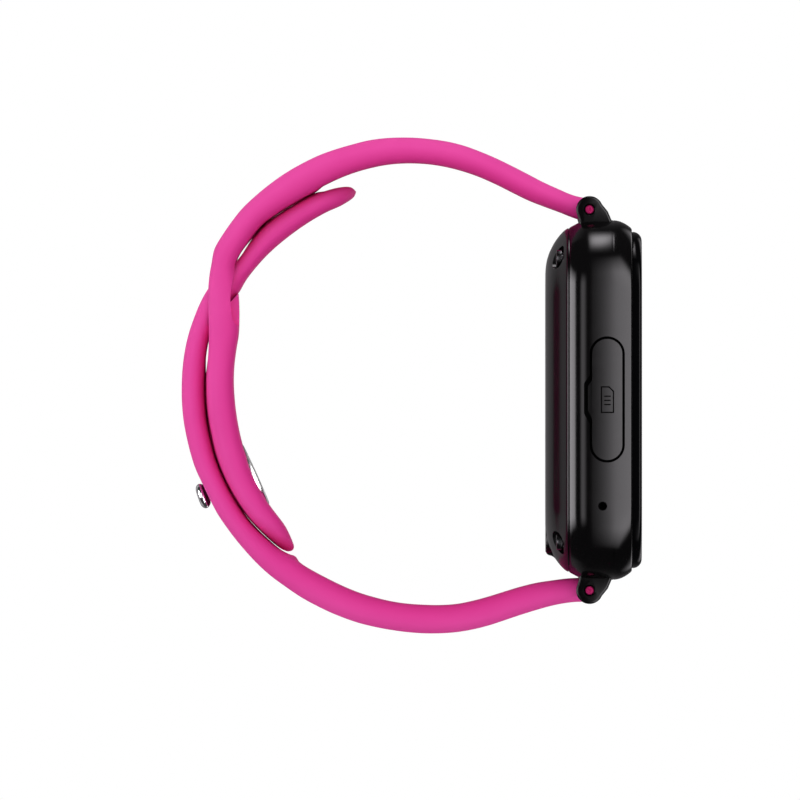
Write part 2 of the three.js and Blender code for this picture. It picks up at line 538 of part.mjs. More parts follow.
// Cuts between the pieces of each strap, along the flex lines.
function flexCut(flex, halfGap) {
  const [x, z] = flex.at;
  const [dx, dz] = flex.dir;
  const [nx, nz] = [-dz, dx];
  const p = (a, b) => [x + a * dx + b * nx, z + a * dz + b * nz];
  return solid(alongY(polygon([p(-halfGap, -4), p(halfGap, -4), p(halfGap, 4), p(-halfGap, 4)]), -15, 15));
}
const [hx, hz] = FLEX_PIN.at;
const pinCut = solid(alongY(polygon([
  [hx - 3, hz - 0.2], [hx, hz - 0.2], [hx + 3.2, hz - 0.2 - 3.2 * Math.tan(18 * Math.PI / 180)],
  [hx + 3.2, hz + 0.2], [hx - 3, hz + 0.2]]), -15, 15));
const FAR = 60;
function keep(body, polygonPoints) {
  return body.intersect(solid(alongY(polygon(polygonPoints), -15, 15)));
}
function side(flex, sign) {
  // Half plane on one side of a flex line.
  const [x, z] = flex.at;
  const [dx, dz] = flex.dir;
  const [nx, nz] = [-dz, dx];
  const p = (a, b) => [x + a * dx + b * nx, z + a * dz + b * nz];
  return sign > 0 ? [p(0, -FAR), p(FAR, -FAR), p(FAR, FAR), p(0, FAR)]
    : [p(-FAR, -FAR), p(0, -FAR), p(0, FAR), p(-FAR, FAR)];
}
upper = upper.subtract(flexCut(FLEX_UPPER, 0.18)).subtract(pinCut);
const upperSegment = keep(upper, [[-5.36, 29], [-4.9, 35.8], [12, 40], [31, 40], [31, 20], [12, 24]]
  .map((p, i) => (i === 0 ? [-5.36 + 0.243 * 4, 32.29 - 0.97 * 4] : i === 1 ? [-5.36 - 0.243 * 4, 32.29 + 0.97 * 4] : p)));
const rest = upper.subtract(solid(alongY(polygon([
  [-5.36 + 0.243 * 4, 32.29 - 0.97 * 4], [31, 18], [31, 42], [-5.36 - 0.243 * 4, 32.29 + 0.97 * 4]]), -15, 15)));
const slotSection = keep(rest, [[-40, hz], [0, hz], [0, 40], [-40, 40]]);
const pinEnd = keep(rest, [[-40, hz], [-40, -40], [0, -40], [0, hz]].reverse());
put('strap_upper', upperSegment, PINK);
put('strap_slot_section', slotSection, PINK);
put('strap_pin_end', pinEnd, PINK);

lower = lower.subtract(flexCut(FLEX_LOWER, 0.18));
const lowerHalf = [[-8.31 - 0.419 * 5, -26.26 - 0.908 * 5], [31, -40], [31, -20], [-8.31 + 0.419 * 5, -26.26 + 0.908 * 5]];
put('strap_lower', keep(lower, lowerHalf), PINK);
put('strap_hole_section', lower.subtract(solid(alongY(polygon(lowerHalf), -15, 15))), PINK);

// ------------------------------------------------------------------ stud
put('stud_base', solid(onStud([
  [0, -3.62], [POST_R * 0.55, -3.62], [POST_R * 0.55, -3.3], [POST_R, -3.3], [POST_R, 2.95],
  [DISC_R - 0.15, 2.95], [DISC_R, 3.1], [DISC_R, 3.55], [DISC_R - 0.2, 3.75], [0, 3.75]], 28)), STEEL);
let head = solid(onStud([
  [0, -4.3], [0.8, -4.26], [1.3, -4.12], [HEAD_R - 0.12, -3.98], [HEAD_R, -3.82], [HEAD_R - 0.08, -3.6],
  [HEAD_R - 0.35, -3.4], [0, -3.4]], 28));
head = head.subtract(solid(onStud([[0, -3.9], [0.75, -3.9], [0.75, -3], [0, -3]], 16)));
put('stud_head', head, CHROME);

export default root;
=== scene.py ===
"""Fitness tracker band: the looks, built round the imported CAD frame. All sizes in metres in the end;
profiles below are written in millimetres in the part's own frame (+X out of the display, +Z to 12 o'clock)."""
import math

import bmesh
import bpy
import numpy as np
from mathutils import Matrix, Vector


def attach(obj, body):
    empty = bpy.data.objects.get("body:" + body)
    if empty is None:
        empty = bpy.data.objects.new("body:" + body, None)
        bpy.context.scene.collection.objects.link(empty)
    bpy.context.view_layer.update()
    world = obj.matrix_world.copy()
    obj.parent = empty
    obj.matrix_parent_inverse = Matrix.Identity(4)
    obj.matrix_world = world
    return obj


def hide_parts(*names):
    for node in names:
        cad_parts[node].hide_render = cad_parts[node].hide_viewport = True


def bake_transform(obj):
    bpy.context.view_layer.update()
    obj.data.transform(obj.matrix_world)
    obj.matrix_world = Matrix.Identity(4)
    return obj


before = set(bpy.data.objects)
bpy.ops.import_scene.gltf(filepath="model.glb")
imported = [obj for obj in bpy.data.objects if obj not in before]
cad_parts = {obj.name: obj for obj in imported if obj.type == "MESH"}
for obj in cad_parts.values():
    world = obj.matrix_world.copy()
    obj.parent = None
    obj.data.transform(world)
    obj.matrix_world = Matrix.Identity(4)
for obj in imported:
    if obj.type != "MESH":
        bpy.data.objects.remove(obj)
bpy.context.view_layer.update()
MM = 0.001

# ------------------------------------------------------------------ profiles (mm, x and z)
UPPER_OUTER = [(26.4, 26.98), (25.46, 27.08), (24.66, 27.26), (23.58, 27.62), (22.51, 28.1), (20.37, 29.06), (18.22, 30.18),
    (16.08, 31.28), (13.94, 32.32), (11.79, 33.23), (9.65, 34.01), (7.5, 34.55), (5.36, 34.87), (3.22, 35.07), (1.07, 35.11),
    (-1.07, 35.01), (-3.22, 34.71), (-5.36, 34.17), (-7.5, 33.55), (-9.65, 32.78), (-11.79, 31.76), (-13.94, 30.55),
    (-16.08, 29.08), (-18.22, 27.34), (-20.1, 25.55), (-21.7, 23.5), (-22.83, 21.84), (-23.42, 20.88), (-23.80, 20.1), (-23.97, 19.35), (-24.1, 18.49),
    (-24.39, 16.88), (-24.58, 14.87), (-24.6, 13.0)]
PIN_OUTER = [(-24.55, 11.12), (-24.5, 9.25), (-24.52, 7.37), (-24.71, 4.02), (-24.74, 1.34), (-24.6, -1.34), (-24.2, -4.02),
    (-23.25, -8.04), (-21.47, -12.06), (-18.83, -16.01), (-16.21, -18.63), (-15.14, -19.56)]
PIN_TIP_O = [(-14.54, -20.02), (-13.9, -20.29)]
PIN_TIP_I = [(-13.36, -20.18), (-13.12, -19.72)]
PIN_INNER = [(-13.19, -19.36), (-13.59, -18.36), (-14.34, -16.88), (-15.54, -15.28), (-16.35, -14.2), (-17.15, -12.93),
    (-18.09, -11.26), (-18.96, -9.38), (-19.56, -7.5), (-20.13, -5.63), (-20.56, -3.75), (-20.9, -1.74), (-21.13, 0.4),
    (-21.23, 2.68), (-21.13, 4.82), (-20.85, 6.97), (-20.56, 8.71)]
BRIDGE = [(-20.48, 10.45), (-20.48, 12.33), (-20.56, 13.94)]
UPPER_INNER = [(-20.88, 16.21), (-21.09, 17.69), (-20.73, 18.89), (-19.3, 21.24), (-17.42, 23.58), (-14.87, 25.42),
    (-12.19, 27.01), (-9.65, 28.46), (-7.5, 29.53), (-5.36, 30.39), (-3.22, 31.03), (-1.07, 31.49), (1.07, 31.72),
    (3.22, 31.74), (5.36, 31.57), (7.5, 31.2), (9.65, 30.63), (11.79, 29.88), (13.94, 28.92), (16.08, 27.85), (18.22, 26.8),
    (20.37, 25.95), (22.51, 25.16), (23.85, 24.62), (25.06, 24.2), (26.4, 23.92)]
LOWER_OUTER = [(26.4, -26.96), (25.46, -26.98), (24.39, -27.02), (23.05, -27.18), (21.44, -27.5), (19.3, -28.09),
    (17.15, -28.76), (15.01, -29.48), (12.86, -30.18), (10.72, -30.71), (8.58, -31.06), (6.43, -31.21), (4.29, -31.21),
    (2.14, -31.06), (0.0, -30.78), (-2.14, -30.39), (-4.56, -29.79), (-6.97, -28.94), (-8.84, -28.14), (-11.93, -26.53),
    (-14.34, -24.92), (-16.48, -23.32), (-18.22, -21.71), (-19.7, -20.1), (-21.04, -18.49), (-22.24, -16.88),
    (-23.32, -15.28), (-24.35, -13.33), (-25.34, -11.26), (-26.33, -9.11), (-27.0, -6.97), (-27.52, -4.82), (-27.9, -2.68),
    (-28.11, -0.4), (-28.14, 1.88), (-28.03, 4.29), (-27.71, 6.7), (-27.18, 8.98), (-26.4, 11.26), (-25.73, 12.86),
    (-24.92, 14.41)]
LOWER_CROSS = [(-23.85, 15.88), (-22.45, 17.22)]
TAIL_TOP = [(-20.77, 18.63), (-19.16, 20.77), (-17.29, 22.99), (-14.87, 24.88), (-12.19, 26.51), (-10.59, 27.31),
    (-8.98, 27.95), (-7.5, 28.37), (-6.3, 28.54)]
TAIL_TIP = [(-5.36, 28.46), (-4.82, 27.9), (-5.03, 27.28)]
TAIL_BOTTOM = [(-5.83, 26.67), (-6.97, 26.0), (-8.58, 25.3), (-10.72, 24.12), (-12.73, 22.78), (-14.74, 21.24),
    (-16.62, 19.56), (-18.22, 17.82), (-19.56, 16.08), (-20.57, 14.34)]
LOWER_INNER_CROSS = [(-21.64, 13.13), (-22.71, 11.79), (-23.65, 10.25), (-24.39, 8.58)]
LOWER_INNER = [(-24.82, 6.7), (-25.07, 4.29), (-25.19, 1.88), (-25.11, -0.54), (-24.86, -2.95), (-24.36, -5.36),
    (-23.72, -7.84), (-22.85, -10.05), (-21.8, -12.19), (-20.57, -14.27), (-19.23, -16.21), (-17.82, -17.76),
    (-16.48, -19.03), (-15.28, -20.03), (-13.94, -20.8), (-12.86, -21.44), (-11.79, -22.22), (-10.72, -22.85),
    (-8.58, -23.99), (-6.43, -25.03), (-4.29, -25.89), (-2.14, -26.53), (0.0, -27.03), (2.14, -27.34), (4.29, -27.48),
    (6.43, -27.52), (8.58, -27.38), (10.72, -26.97), (12.86, -26.4), (15.01, -25.73), (17.15, -25.08), (19.3, -24.55),
    (21.44, -24.22), (23.58, -23.95), (25.06, -23.88), (26.4, -23.94)]
BAND_HOLES = [(-14.23, -22.73, -0.82, 0.572), (-19.65, -17.9, -0.644, 0.765), (-23.24, -12.5, -0.3256, 0.9455),
    (-25.79, -5.73, -0.235, 0.972), (-26.65, 1.27, 0.0, 1.0), (-25.9, 8.27, 0.263, 0.965),
    (-18.15, 19.88, 0.659, 0.752), (-12.99, 24.34, 0.832, 0.554)]
LUG_X, LUG_Z = 26.4, 25.46
STUD_C = np.array([-21.745, 0.0, -11.625])
STUD_U = Vector((0.9455, 0.0, 0.3256)).normalized()


# ------------------------------------------------------------------ mesh helpers
def catmull(points, step=0.12):
    """Dense smooth curve through the points (centripetal Catmull-Rom), as an array of x, z."""
    p = np.array(points, float)
    p = np.vstack([2 * p[0] - p[1], p, 2 * p[-1] - p[-2]])
    out = []
    for i in range(1, len(p) - 2):
        p0, p1, p2, p3 = p[i - 1], p[i], p[i + 1], p[i + 2]
        t0 = 0.0
        t1 = t0 + max(1e-6, np.linalg.norm(p1 - p0)) ** 0.5
        t2 = t1 + max(1e-6, np.linalg.norm(p2 - p1)) ** 0.5
        t3 = t2 + max(1e-6, np.linalg.norm(p3 - p2)) ** 0.5
        n = max(2, int(np.linalg.norm(p2 - p1) / step))
        for t in np.linspace(t1, t2, n, endpoint=False):
            a1 = (t1 - t) / (t1 - t0) * p0 + (t - t0) / (t1 - t0) * p1
            a2 = (t2 - t) / (t2 - t1) * p1 + (t - t1) / (t2 - t1) * p2
            a3 = (t3 - t) / (t3 - t2) * p2 + (t - t2) / (t3 - t2) * p3
            b1 = (t2 - t) / (t2 - t0) * a1 + (t - t0) / (t2 - t0) * a2
            b2 = (t3 - t) / (t3 - t1) * a2 + (t - t1) / (t3 - t1) * a3
            out.append((t2 - t) / (t2 - t1) * b1 + (t - t1) / (t2 - t1) * b2)
    out.append(p[-2])
    return np.array(out)


def soften(curve, rounds):
    """Evens out small kinks in a dense curve, with its ends held."""
    c = curve.copy()
    for _ in range(rounds):
        c[1:-1] = 0.25 * c[:-2] + 0.5 * c[1:-1] + 0.25 * c[2:]
    return c


def arclen(c):
    return np.concatenate([[0], np.cumsum(np.linalg.norm(np.diff(c, axis=0), axis=1))])


def resample(c, s_new):
    s = arclen(c)
    return np.stack([np.interp(s_new, s, c[:, k]) for k in range(c.shape[1])], 1)


def make_object(name, verts, faces, smooth=True):
    me = bpy.data.meshes.new(name)
    me.from_pydata([tuple(v) for v in verts], [], [tuple(int(i) for i in f) for f in faces])
    me.validate()
    me.update()
    ob = bpy.data.objects.new(name, me)
    bpy.context.scene.collection.objects.link(ob)
    if smooth:
        me.polygons.foreach_set("use_smooth", [True] * len(me.polygons))
    return ob


def recalc(ob):
    bm = bmesh.new()
    bm.from_mesh(ob.data)
    bmesh.ops.recalc_face_normals(bm, faces=bm.faces)
    bm.to_mesh(ob.data)
    bm.free()
    ob.data.update()
    return ob


def loft(name, rings):
    """Closed tube of quads over rings (stations, points, 3) given in mm, with flat end caps."""
    r = np.asarray(rings, float) * MM
    n, m, _ = r.shape
    verts = r.reshape(-1, 3)
    faces = []
    for i in range(n - 1):
        a = i * m
        b = (i + 1) * m
        for j in range(m):
            k = (j + 1) % m
            faces.append((a + j, a + k, b + k, b + j))
    faces.append(tuple(range(m))[::-1])
    faces.append(tuple((n - 1) * m + j for j in range(m)))
    return recalc(make_object(name, verts, faces))


def apply_mods(ob):
    dg = bpy.context.evaluated_depsgraph_get()
    me = bpy.data.meshes.new_from_object(ob.evaluated_get(dg), preserve_all_data_layers=True, depsgraph=dg)
    ob.modifiers.clear()
    old = ob.data
    ob.data = me
    me.name = ob.name
    bpy.data.meshes.remove(old)
    return ob


def cut(ob, cutter, op="DIFFERENCE", keep=False):
    m = ob.modifiers.new("b", "BOOLEAN")
    m.operation = op
    m.solver = "EXACT"
    m.object = cutter
    apply_mods(ob)
    if not keep:
        bpy.data.objects.remove(cutter, do_unlink=True)
    return ob


def shade(ob, angle=35):
    """Smooth shading with hard edges only where two faces meet at more than the angle."""
    bm = bmesh.new()
    bm.from_mesh(ob.data)
    lim = math.radians(angle)
    for f in bm.faces:
        f.smooth = True
    for e in bm.edges:
        e.smooth = not (len(e.link_faces) == 2 and e.calc_face_angle(0) > lim)
    bm.to_mesh(ob.data)
    bm.free()
    return ob


def clean(ob, dist=0.000004):
    bm = bmesh.new()
    bm.from_mesh(ob.data)
    bmesh.ops.remove_doubles(bm, verts=bm.verts, dist=dist)
    bmesh.ops.dissolve_degenerate(bm, dist=dist, edges=bm.edges)
    bm.to_mesh(ob.data)
    bm.free()
    return ob


def basis(x, y, z, origin=(0, 0, 0)):
    m = Matrix.Identity(4)
    for i, v in enumerate((x, y, z)):
        v = Vector(v).normalized()
        for k in range(3):
            m[k][i] = v[k]
    m.translation = Vector(origin)
    return m


def turned(name, profile, origin, axis, sides=64):
    """A turned piece: profile is (radius, height) in mm along axis from origin, closed on the axis."""
    u = Vector(axis).normalized()
    q = Vector((0, 0, 1)).rotation_difference(u)
    verts = []
    faces = []
    idx = []
    for r, h in profile:
        row = []
        if r < 1e-6:
            verts.append((0, 0, h))
            row = [len(verts) - 1]
        else:
            for k in range(sides):
                a = 2 * math.pi * k / sides
                verts.append((r * math.cos(a), r * math.sin(a), h))
                row.append(len(verts) - 1)
        idx.append(row)
    for a, b in zip(idx[:-1], idx[1:]):
        for k in range(sides):
            k2 = (k + 1) % sides
            if len(a) == 1 and len(b) == 1:
                continue
            if len(a) == 1:
                faces.append((a[0], b[k], b[k2]))
            elif len(b) == 1:
                faces.append((a[k], a[k2], b[0]))
            else:
                faces.append((a[k], a[k2], b[k2], b[k]))
    pts = [(q @ Vector(v) + Vector(origin)) * MM for v in verts]
    return recalc(make_object(name, pts, faces))


def extrude_outline(name, pts3, vec):
    """Prism: a closed outline of 3-D points in mm swept by vec in mm."""
    n = len(pts3)
    a = [Vector(p) * MM for p in pts3]
    b = [(Vector(p) + Vector(vec)) * MM for p in pts3]
    faces = [tuple(range(n))[::-1], tuple(range(n, 2 * n))]
    for i in range(n):
        j = (i + 1) % n
        faces.append((i, j, n + j, n + i))
    return recalc(make_object(name, a + b, faces, smooth=False))


def bevel_edges(ob, width, segments=3, angle=40, harden=False):
    m = ob.modifiers.new("bv", "BEVEL")
    m.width = width * MM
    m.segments = segments
    m.limit_method = "ANGLE"
    m.angle_limit = math.radians(angle)
    m.use_clamp_overlap = True
    m.miter_outer = "MITER_ARC"
    apply_mods(ob)
    return ob


def round_rect(hy, hz, r, n_arc=14, n_y=10, n_z=14):
    """Outline in y, z (mm), anticlockwise seen from +x, with even points on the flats."""
    r = min(r, hy - 0.01, hz - 0.01)
    pts = []
    corners = [(hy - r, hz - r, 0), (-(hy - r), hz - r, 90), (-(hy - r), -(hz - r), 180), (hy - r, -(hz - r), 270)]
    for c, (cy, cz, a0) in enumerate(corners):
        for k in range(n_arc + 1):
            a = math.radians(a0 + 90 * k / n_arc)
            pts.append((cy + r * math.cos(a), cz + r * math.sin(a)))
        nxt = corners[(c + 1) % 4]
        n = n_y if c % 2 == 0 else n_z
        a = math.radians(a0 + 90)
        p0 = np.array([cy + r * math.cos(a), cz + r * math.sin(a)])
        p1 = np.array([nxt[0] + r * math.cos(a), nxt[1] + r * math.sin(a)])
        for k in range(1, n):
            pts.append(tuple(p0 + (p1 - p0) * k / n))
    return np.array(pts)


# ------------------------------------------------------------------ band sweep
def band(name, outer, inner, width, step=0.42, edge=1.75, n_flat=12, n_arc=12, tip_start=False, tip_end=False,
         soft=10, crown=(0.05, 0.0)):
    """A silicone strap between two side curves (x, z). width(x, z, share) gives its full width in mm."""
    o = soften(catmull(outer), soft)
    i = soften(catmull(inner), soft)
    so, si = arclen(o), arclen(i)
    n = int(max(so[-1], si[-1]) / step)
    t = np.linspace(0, 1, n + 1)
    if tip_end:
        t = np.concatenate([t[t < 0.96], 0.96 + 0.04 * np.sin(np.linspace(0, 1, 26) * math.pi / 2)])
    if tip_start:
        t = np.concatenate([0.04 * (1 - np.cos(np.linspace(0, 1, 26) * math.pi / 2)), t[t > 0.04]])
    t = np.clip(t, 0.0005 if tip_start else 0, 0.9997 if tip_end else 1)
    po = resample(o, t * so[-1])
    pi_ = resample(i, t * si[-1])
    def lift(value, pt):
        """Crown height on one face: a number, or enough to meet the facing curve half way."""
        if isinstance(value, (int, float)):
            return value
        facing, reach, fade = value
        # where the band crosses through its own slot the faces stay at their plain height
        clear = min(1.0, max(0.0, (6.0 - pt[1]) / 2.5, (pt[1] - 19.5) / 2.0))
        if clear <= 0:
            return 0.0
        gap = float(np.min(np.linalg.norm(facing - pt, axis=1)))
        if gap < reach:
            return clear * (0.5 * gap + 0.012)
        return clear * 0.03 + clear * (0.5 * reach - 0.018) * max(0.0, 1 - (gap - reach) / fade)

    rings = []
    for k in range(len(t)):
        a, b = po[k], pi_[k]
        mid = (a + b) / 2
        c_out, c_in = lift(crown[0], a), lift(crown[1], b)
        d = (a - b)
        h = max(np.linalg.norm(d), 0.03)
        u = d / h
        w = width(mid[0], mid[1], t[k]) / 2
        e = min(edge, w * 0.9)
        # edges shrink with the thickness towards a tip
        e = min(e, max(0.15, 0.62 * h))
        ring = []
        for q in range(n_flat):
            y = -(w - e) + 2 * (w - e) * q / n_flat
            ring.append((y, h / 2 + c_out * (1 - abs(y / (w - e)) ** 2.5)))
        for q in range(n_arc):
            g = math.pi / 2 - math.pi * q / n_arc
            ring.append((w - e + e * math.cos(g), h / 2 * math.sin(g)))
        for q in range(n_flat):
            y = (w - e) - 2 * (w - e) * q / n_flat
            ring.append((y, -h / 2 - c_in * (1 - abs(y / (w - e)) ** 2.5)))
        for q in range(n_arc):
            g = -math.pi / 2 - math.pi * q / n_arc
            ring.append((-(w - e) + e * math.cos(g), h / 2 * math.sin(g)))
        rings.append([(mid[0] + u[0] * s, y, mid[1] + u[1] * s) for y, s in ring])
    return loft(name, rings)


def smooth01(t):
    t = min(1.0, max(0.0, t))
    return t * t * (3 - 2 * t)


def around(x, z, sense):
    a = math.degrees(math.atan2(sense * z, x))
    return a + 360 if a < -20 else a


def upper_width(x, z, t):
    a = around(x, z, 1)
    w = 20 - 3.0 * smooth01((a - 170) / 40)
    if a > 200:
        d = (z + 20.35) / 7.0
        if d < 1:
            w *= math.sqrt(max(0.03, 1 - (1 - max(0.0, d)) ** 2.2))
    return w


def lower_width(x, z, t):
    a = around(x, z, -1)
    w = 20 - 4.6 * smooth01((a - 75) / 70)
    if a > 205 and x > -12.0:
        d = min(1.0, (x + 12.0) / 7.25)
        w *= math.sqrt(max(0.03, 1 - d ** 2.2))
    return w


CUT_Z = 9.9   # the two pieces of the upper strap meet here


def trim(points, keep_above=None, keep_below=None):
    pts = []
    for (x0, z0), (x1, z1) in zip(points[:-1], points[1:]):
        pts.append((x0, z0))
    pts.append(points[-1])
    level = keep_above if keep_above is not None else keep_below
    sign = 1 if keep_above is not None else -1
    out = []
    for (x0, z0), (x1, z1) in zip(pts[:-1], pts[1:]):
        if sign * (z0 - level) >= 0:
            out.append((x0, z0))
        if (z0 - level) * (z1 - level) < 0:
            t = (level - z0) / (z1 - z0)
            out.append((x0 + t * (x1 - x0), level))
    if sign * (pts[-1][1] - level) >= 0:
        out.append(pts[-1])
    return out


full_outer = UPPER_OUTER + PIN_OUTER
full_inner_up = UPPER_INNER[::-1] + BRIDGE[::-1] + PIN_INNER[::-1]
dense_outer = [tuple(p) for p in soften(catmull(full_outer), 4)]
dense_inner = [tuple(p) for p in soften(catmull(full_inner_up), 4)]

# ------------------------------------------------------------------ band pieces
outer_a = trim(dense_outer, keep_above=CUT_Z)
inner_a = trim(dense_inner, keep_above=CUT_Z)
# the sweep runs from the lug's round end to the cut
face_low = catmull(LOWER_INNER)
face_pin = catmull(PIN_OUTER + PIN_TIP_O)
face_tail = catmull(TAIL_TOP)
face_up = catmull(UPPER_INNER)
strap_a = band("strap_upper_skin",
               [(27.9, 25.46), (27.85, 25.9), (27.58, 26.4), (27.1, 26.8)] + outer_a[::4] + [outer_a[-1]],
               [(27.9, 25.46), (27.85, 25.02), (27.58, 24.52), (27.1, 24.12)] + inner_a[::4] + [inner_a[-1]],
               upper_width, tip_start=True, soft=2, crown=(0.03, (face_tail, 0.60, 0.16)))
outer_b = trim(dense_outer, keep_below=CUT_Z)
inner_b = trim(dense_inner, keep_below=CUT_Z)
strap_pin = band("strap_pin_end_skin",
                 outer_b[::4] + [outer_b[-1]] + PIN_TIP_O, inner_b[::4] + PIN_TIP_I[::-1] + [PIN_TIP_O[-1]],
                 upper_width, tip_end=True, soft=3, crown=((face_low, 1.4, 0.7), 0.0))
strap_low = band("strap_lower_skin",
                 [(27.9, -25.46), (27.85, -25.9), (27.58, -26.4), (27.1, -26.8)] + LOWER_OUTER + LOWER_CROSS + TAIL_TOP
                 + TAIL_TIP[:2],
                 [(27.9, -25.46), (27.85, -25.02), (27.58, -24.52), (27.1, -24.12)] + LOWER_INNER[::-1]
                 + LOWER_INNER_CROSS[::-1] + TAIL_BOTTOM[::-1] + [TAIL_TIP[2], TAIL_TIP[1]],
                 lower_width, tip_start=True, tip_end=True, crown=((face_up, 0.60, 0.16), (face_pin, 1.0, 1.0)))

# spring bar bores
for ob, sz in ((strap_a, 1), (strap_low, -1)):
    cut(ob, turned("bore", [(0, -14), (1.2, -14), (1.2, 14), (0, 14)], (LUG_X, 0, sz * LUG_Z), (0, 1, 0), 32))


def oval_ring(l, w, n=14):
    """Outline of an oval hole, long way along the first axis."""
    pts = []
    r = w / 2
    for k in range(n + 1):
        a = -math.pi / 2 + math.pi * k / n
        pts.append(((l - w) / 2 + r * math.cos(a), r * math.sin(a)))
    for k in range(n + 1):
        a = math.pi / 2 + math.pi * k / n
        pts.append((-(l - w) / 2 + r * math.cos(a), r * math.sin(a)))
    return pts


def hole_cutter(x, z, dx, dz, thick, l=5.8, w=4.2, fillet=0.45):
    """A through hole whose two mouths flare into the strap faces in a round."""
    prof = [(-thick / 2 - 1.2, fillet + 0.9), (-thick / 2 - 0.02, fillet + 0.12)]
    for k in range(6):
        g = math.pi / 2 * k / 5
        prof.append((-thick / 2 + fillet * (1 - math.cos(g)) * 1.0 + 0.0, fillet * (1 - math.sin(g))))
    prof = [(-thick / 2 - 1.0, fillet)] + [(-thick / 2 + fillet * (1 - math.cos(math.pi / 2 * k / 5)),
                                            fillet * (1 - math.sin(math.pi / 2 * k / 5))) for k in range(6)]
    prof = prof + [(-h, g) for h, g in prof[::-1]]
    rings = []
    nx, nz = dz, -dx
    for h, grow in prof:
        ring = []
        for a, b in oval_ring(l + 2 * grow, w + 2 * grow):
            ring.append((x + dx * a + nx * h, b, z + dz * a + nz * h))
        rings.append(ring)
    return loft("hole", rings)


for x, z, dx, dz in BAND_HOLES:
    # thickness of the strap here
    o = catmull(LOWER_OUTER + LOWER_CROSS + TAIL_TOP)
    i = catmull(LOWER_INNER[::-1] + LOWER_INNER_CROSS[::-1] + TAIL_BOTTOM[::-1])
    c = np.array([x, z])
    po = o[np.argmin(np.linalg.norm(o - c, axis=1))]
    pi_ = i[np.argmin(np.linalg.norm(i - c, axis=1))]
    mid = (po + pi_) / 2
    th = np.linalg.norm(po - pi_)
    along = (c - mid) @ np.array([dx, dz])
    m = mid + along * np.array([dx, dz])
    cut(strap_low, hole_cutter(m[0], m[1], dx, dz, th))

# tuck slot through the upper strap, with a slim rail on each side of it
def offset(points, d):
    p = np.array(points, float)
    out = []
    for k in range(len(p)):
        a = p[max(0, k - 1)]
        b = p[min(len(p) - 1, k + 1)]
        l = np.linalg.norm(b - a)
        out.append((p[k][0] - d * (b[1] - a[1]) / l, p[k][1] + d * (b[0] - a[0]) / l))
    return out


run_out = [tuple(p) for p in catmull(offset(LOWER_OUTER[-6:] + LOWER_CROSS + TAIL_TOP[:4], 0.10), 0.4)]
run_in = [tuple(p) for p in catmull(offset(TAIL_BOTTOM[5:] + LOWER_INNER_CROSS + LOWER_INNER[:2], 0.045), 0.4)]
slot_side = run_out + run_in


def slab(name, side, half, edge=1.4, n=6):
    """The slot cutter: a side outline swept straight across."""
    return extrude_outline(name, [(x, -half, z) for x, z in side], (0, 2 * half, 0))


slot = slab("slot", slot_side, 8.05)
cut(strap_a, slot)
for y0, y1 in ((-13, -8.05), (8.05, 13)):
    rail = [(-21.55, 14.6), (-21.62, 13.6), (-21.58, 12.6), (-21.48, 11.6), (-21.3, 10.7), (-21.0, 10.2), (-20.6, 9.95),
            (-19, 9.8), (-19, 17.4), (-20.95, 17.1), (-21.25, 16.2), (-21.42, 15.4)]
    cut(strap_a, extrude_outline("rail", [(x, y0, z) for x, z in rail], (0, y1 - y0, 0)))

# seat of the stud in the pin end: a hole for the post and a shallow dish for the disc
u3 = Vector((STUD_U.x, 0, STUD_U.z))
DISC_ANGLE = math.radians(24.3)
u_disc = Vector((math.cos(DISC_ANGLE), 0, math.sin(DISC_ANGLE)))
mid_disc = Vector(tuple(STUD_C)) + Vector((3.22, 0, 1.58))
cut(strap_pin, turned("seat_hole", [(0, -4), (1.15, -4), (1.15, 4), (0, 4)], tuple(STUD_C), tuple(u3), 40))
cut(strap_pin, turned("seat", [(0, -0.62), (4.3, -0.62), (4.56, -0.4), (4.62, -0.1), (4.8, 1.5), (5.4, 3.0), (0, 3.0)], tuple(mid_disc), tuple(u_disc), 72))
for ob in (strap_a, strap_pin, strap_low):
    clean(ob)
    shade(ob, 38)
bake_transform(strap_a)
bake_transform(strap_pin)
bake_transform(strap_low)
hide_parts("strap_upper", "strap_slot_section")
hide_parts("strap_pin_end")
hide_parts("strap_lower", "strap_hole_section")


# ------------------------------------------------------------------ materials
def new_mat(name):
    m = bpy.data.materials.new(name)
    m.use_nodes = True
    nt = m.node_tree
    bsdf = nt.nodes["Principled BSDF"]
    return m, nt, bsdf


def node(nt, kind, **kw):
    n = nt.nodes.new(kind)
    for k, v in kw.items():
        setattr(n, k, v)
    return n


def texcoord(nt):
    return node(nt, "ShaderNodeTexCoord").outputs["Object"]


def noise(nt, scale, detail=4, rough=0.5, coord=None):
    n = node(nt, "ShaderNodeTexNoise")
    n.inputs["Scale"].default_value = scale
    n.inputs["Detail"].default_value = detail
    n.inputs["Roughness"].default_value = rough
    nt.links.new(coord if coord is not None else texcoord(nt), n.inputs["Vector"])
    return n.outputs["Fac"]


def ramp(nt, fac, stops):
    r = node(nt, "ShaderNodeValToRGB")
    while len(r.color_ramp.elements) < len(stops):
        r.color_ramp.elements.new(0.5)
    for e, (p, c) in zip(r.color_ramp.elements, stops):
        e.position = p
        e.color = (*c, 1) if len(c) == 3 else c
    nt.links.new(fac, r.inputs["Fac"])
    return r.outputs["Color"]


def maprange(nt, fac, a, b, c, d):
    m = node(nt, "ShaderNodeMapRange")
    for k, v in zip(("From Min", "From Max", "To Min", "To Max"), (a, b, c, d)):
        m.inputs[k].default_value = v
    nt.links.new(fac, m.inputs["Value"])
    return m.outputs["Result"]


def bump(nt, bsdf, height, strength, distance):
    b = node(nt, "ShaderNodeBump")
    b.inputs["Strength"].default_value = strength
    b.inputs["Distance"].default_value = distance
    nt.links.new(height, b.inputs["Height"])
    nt.links.new(b.outputs["Normal"], bsdf.inputs["Normal"])
    return b


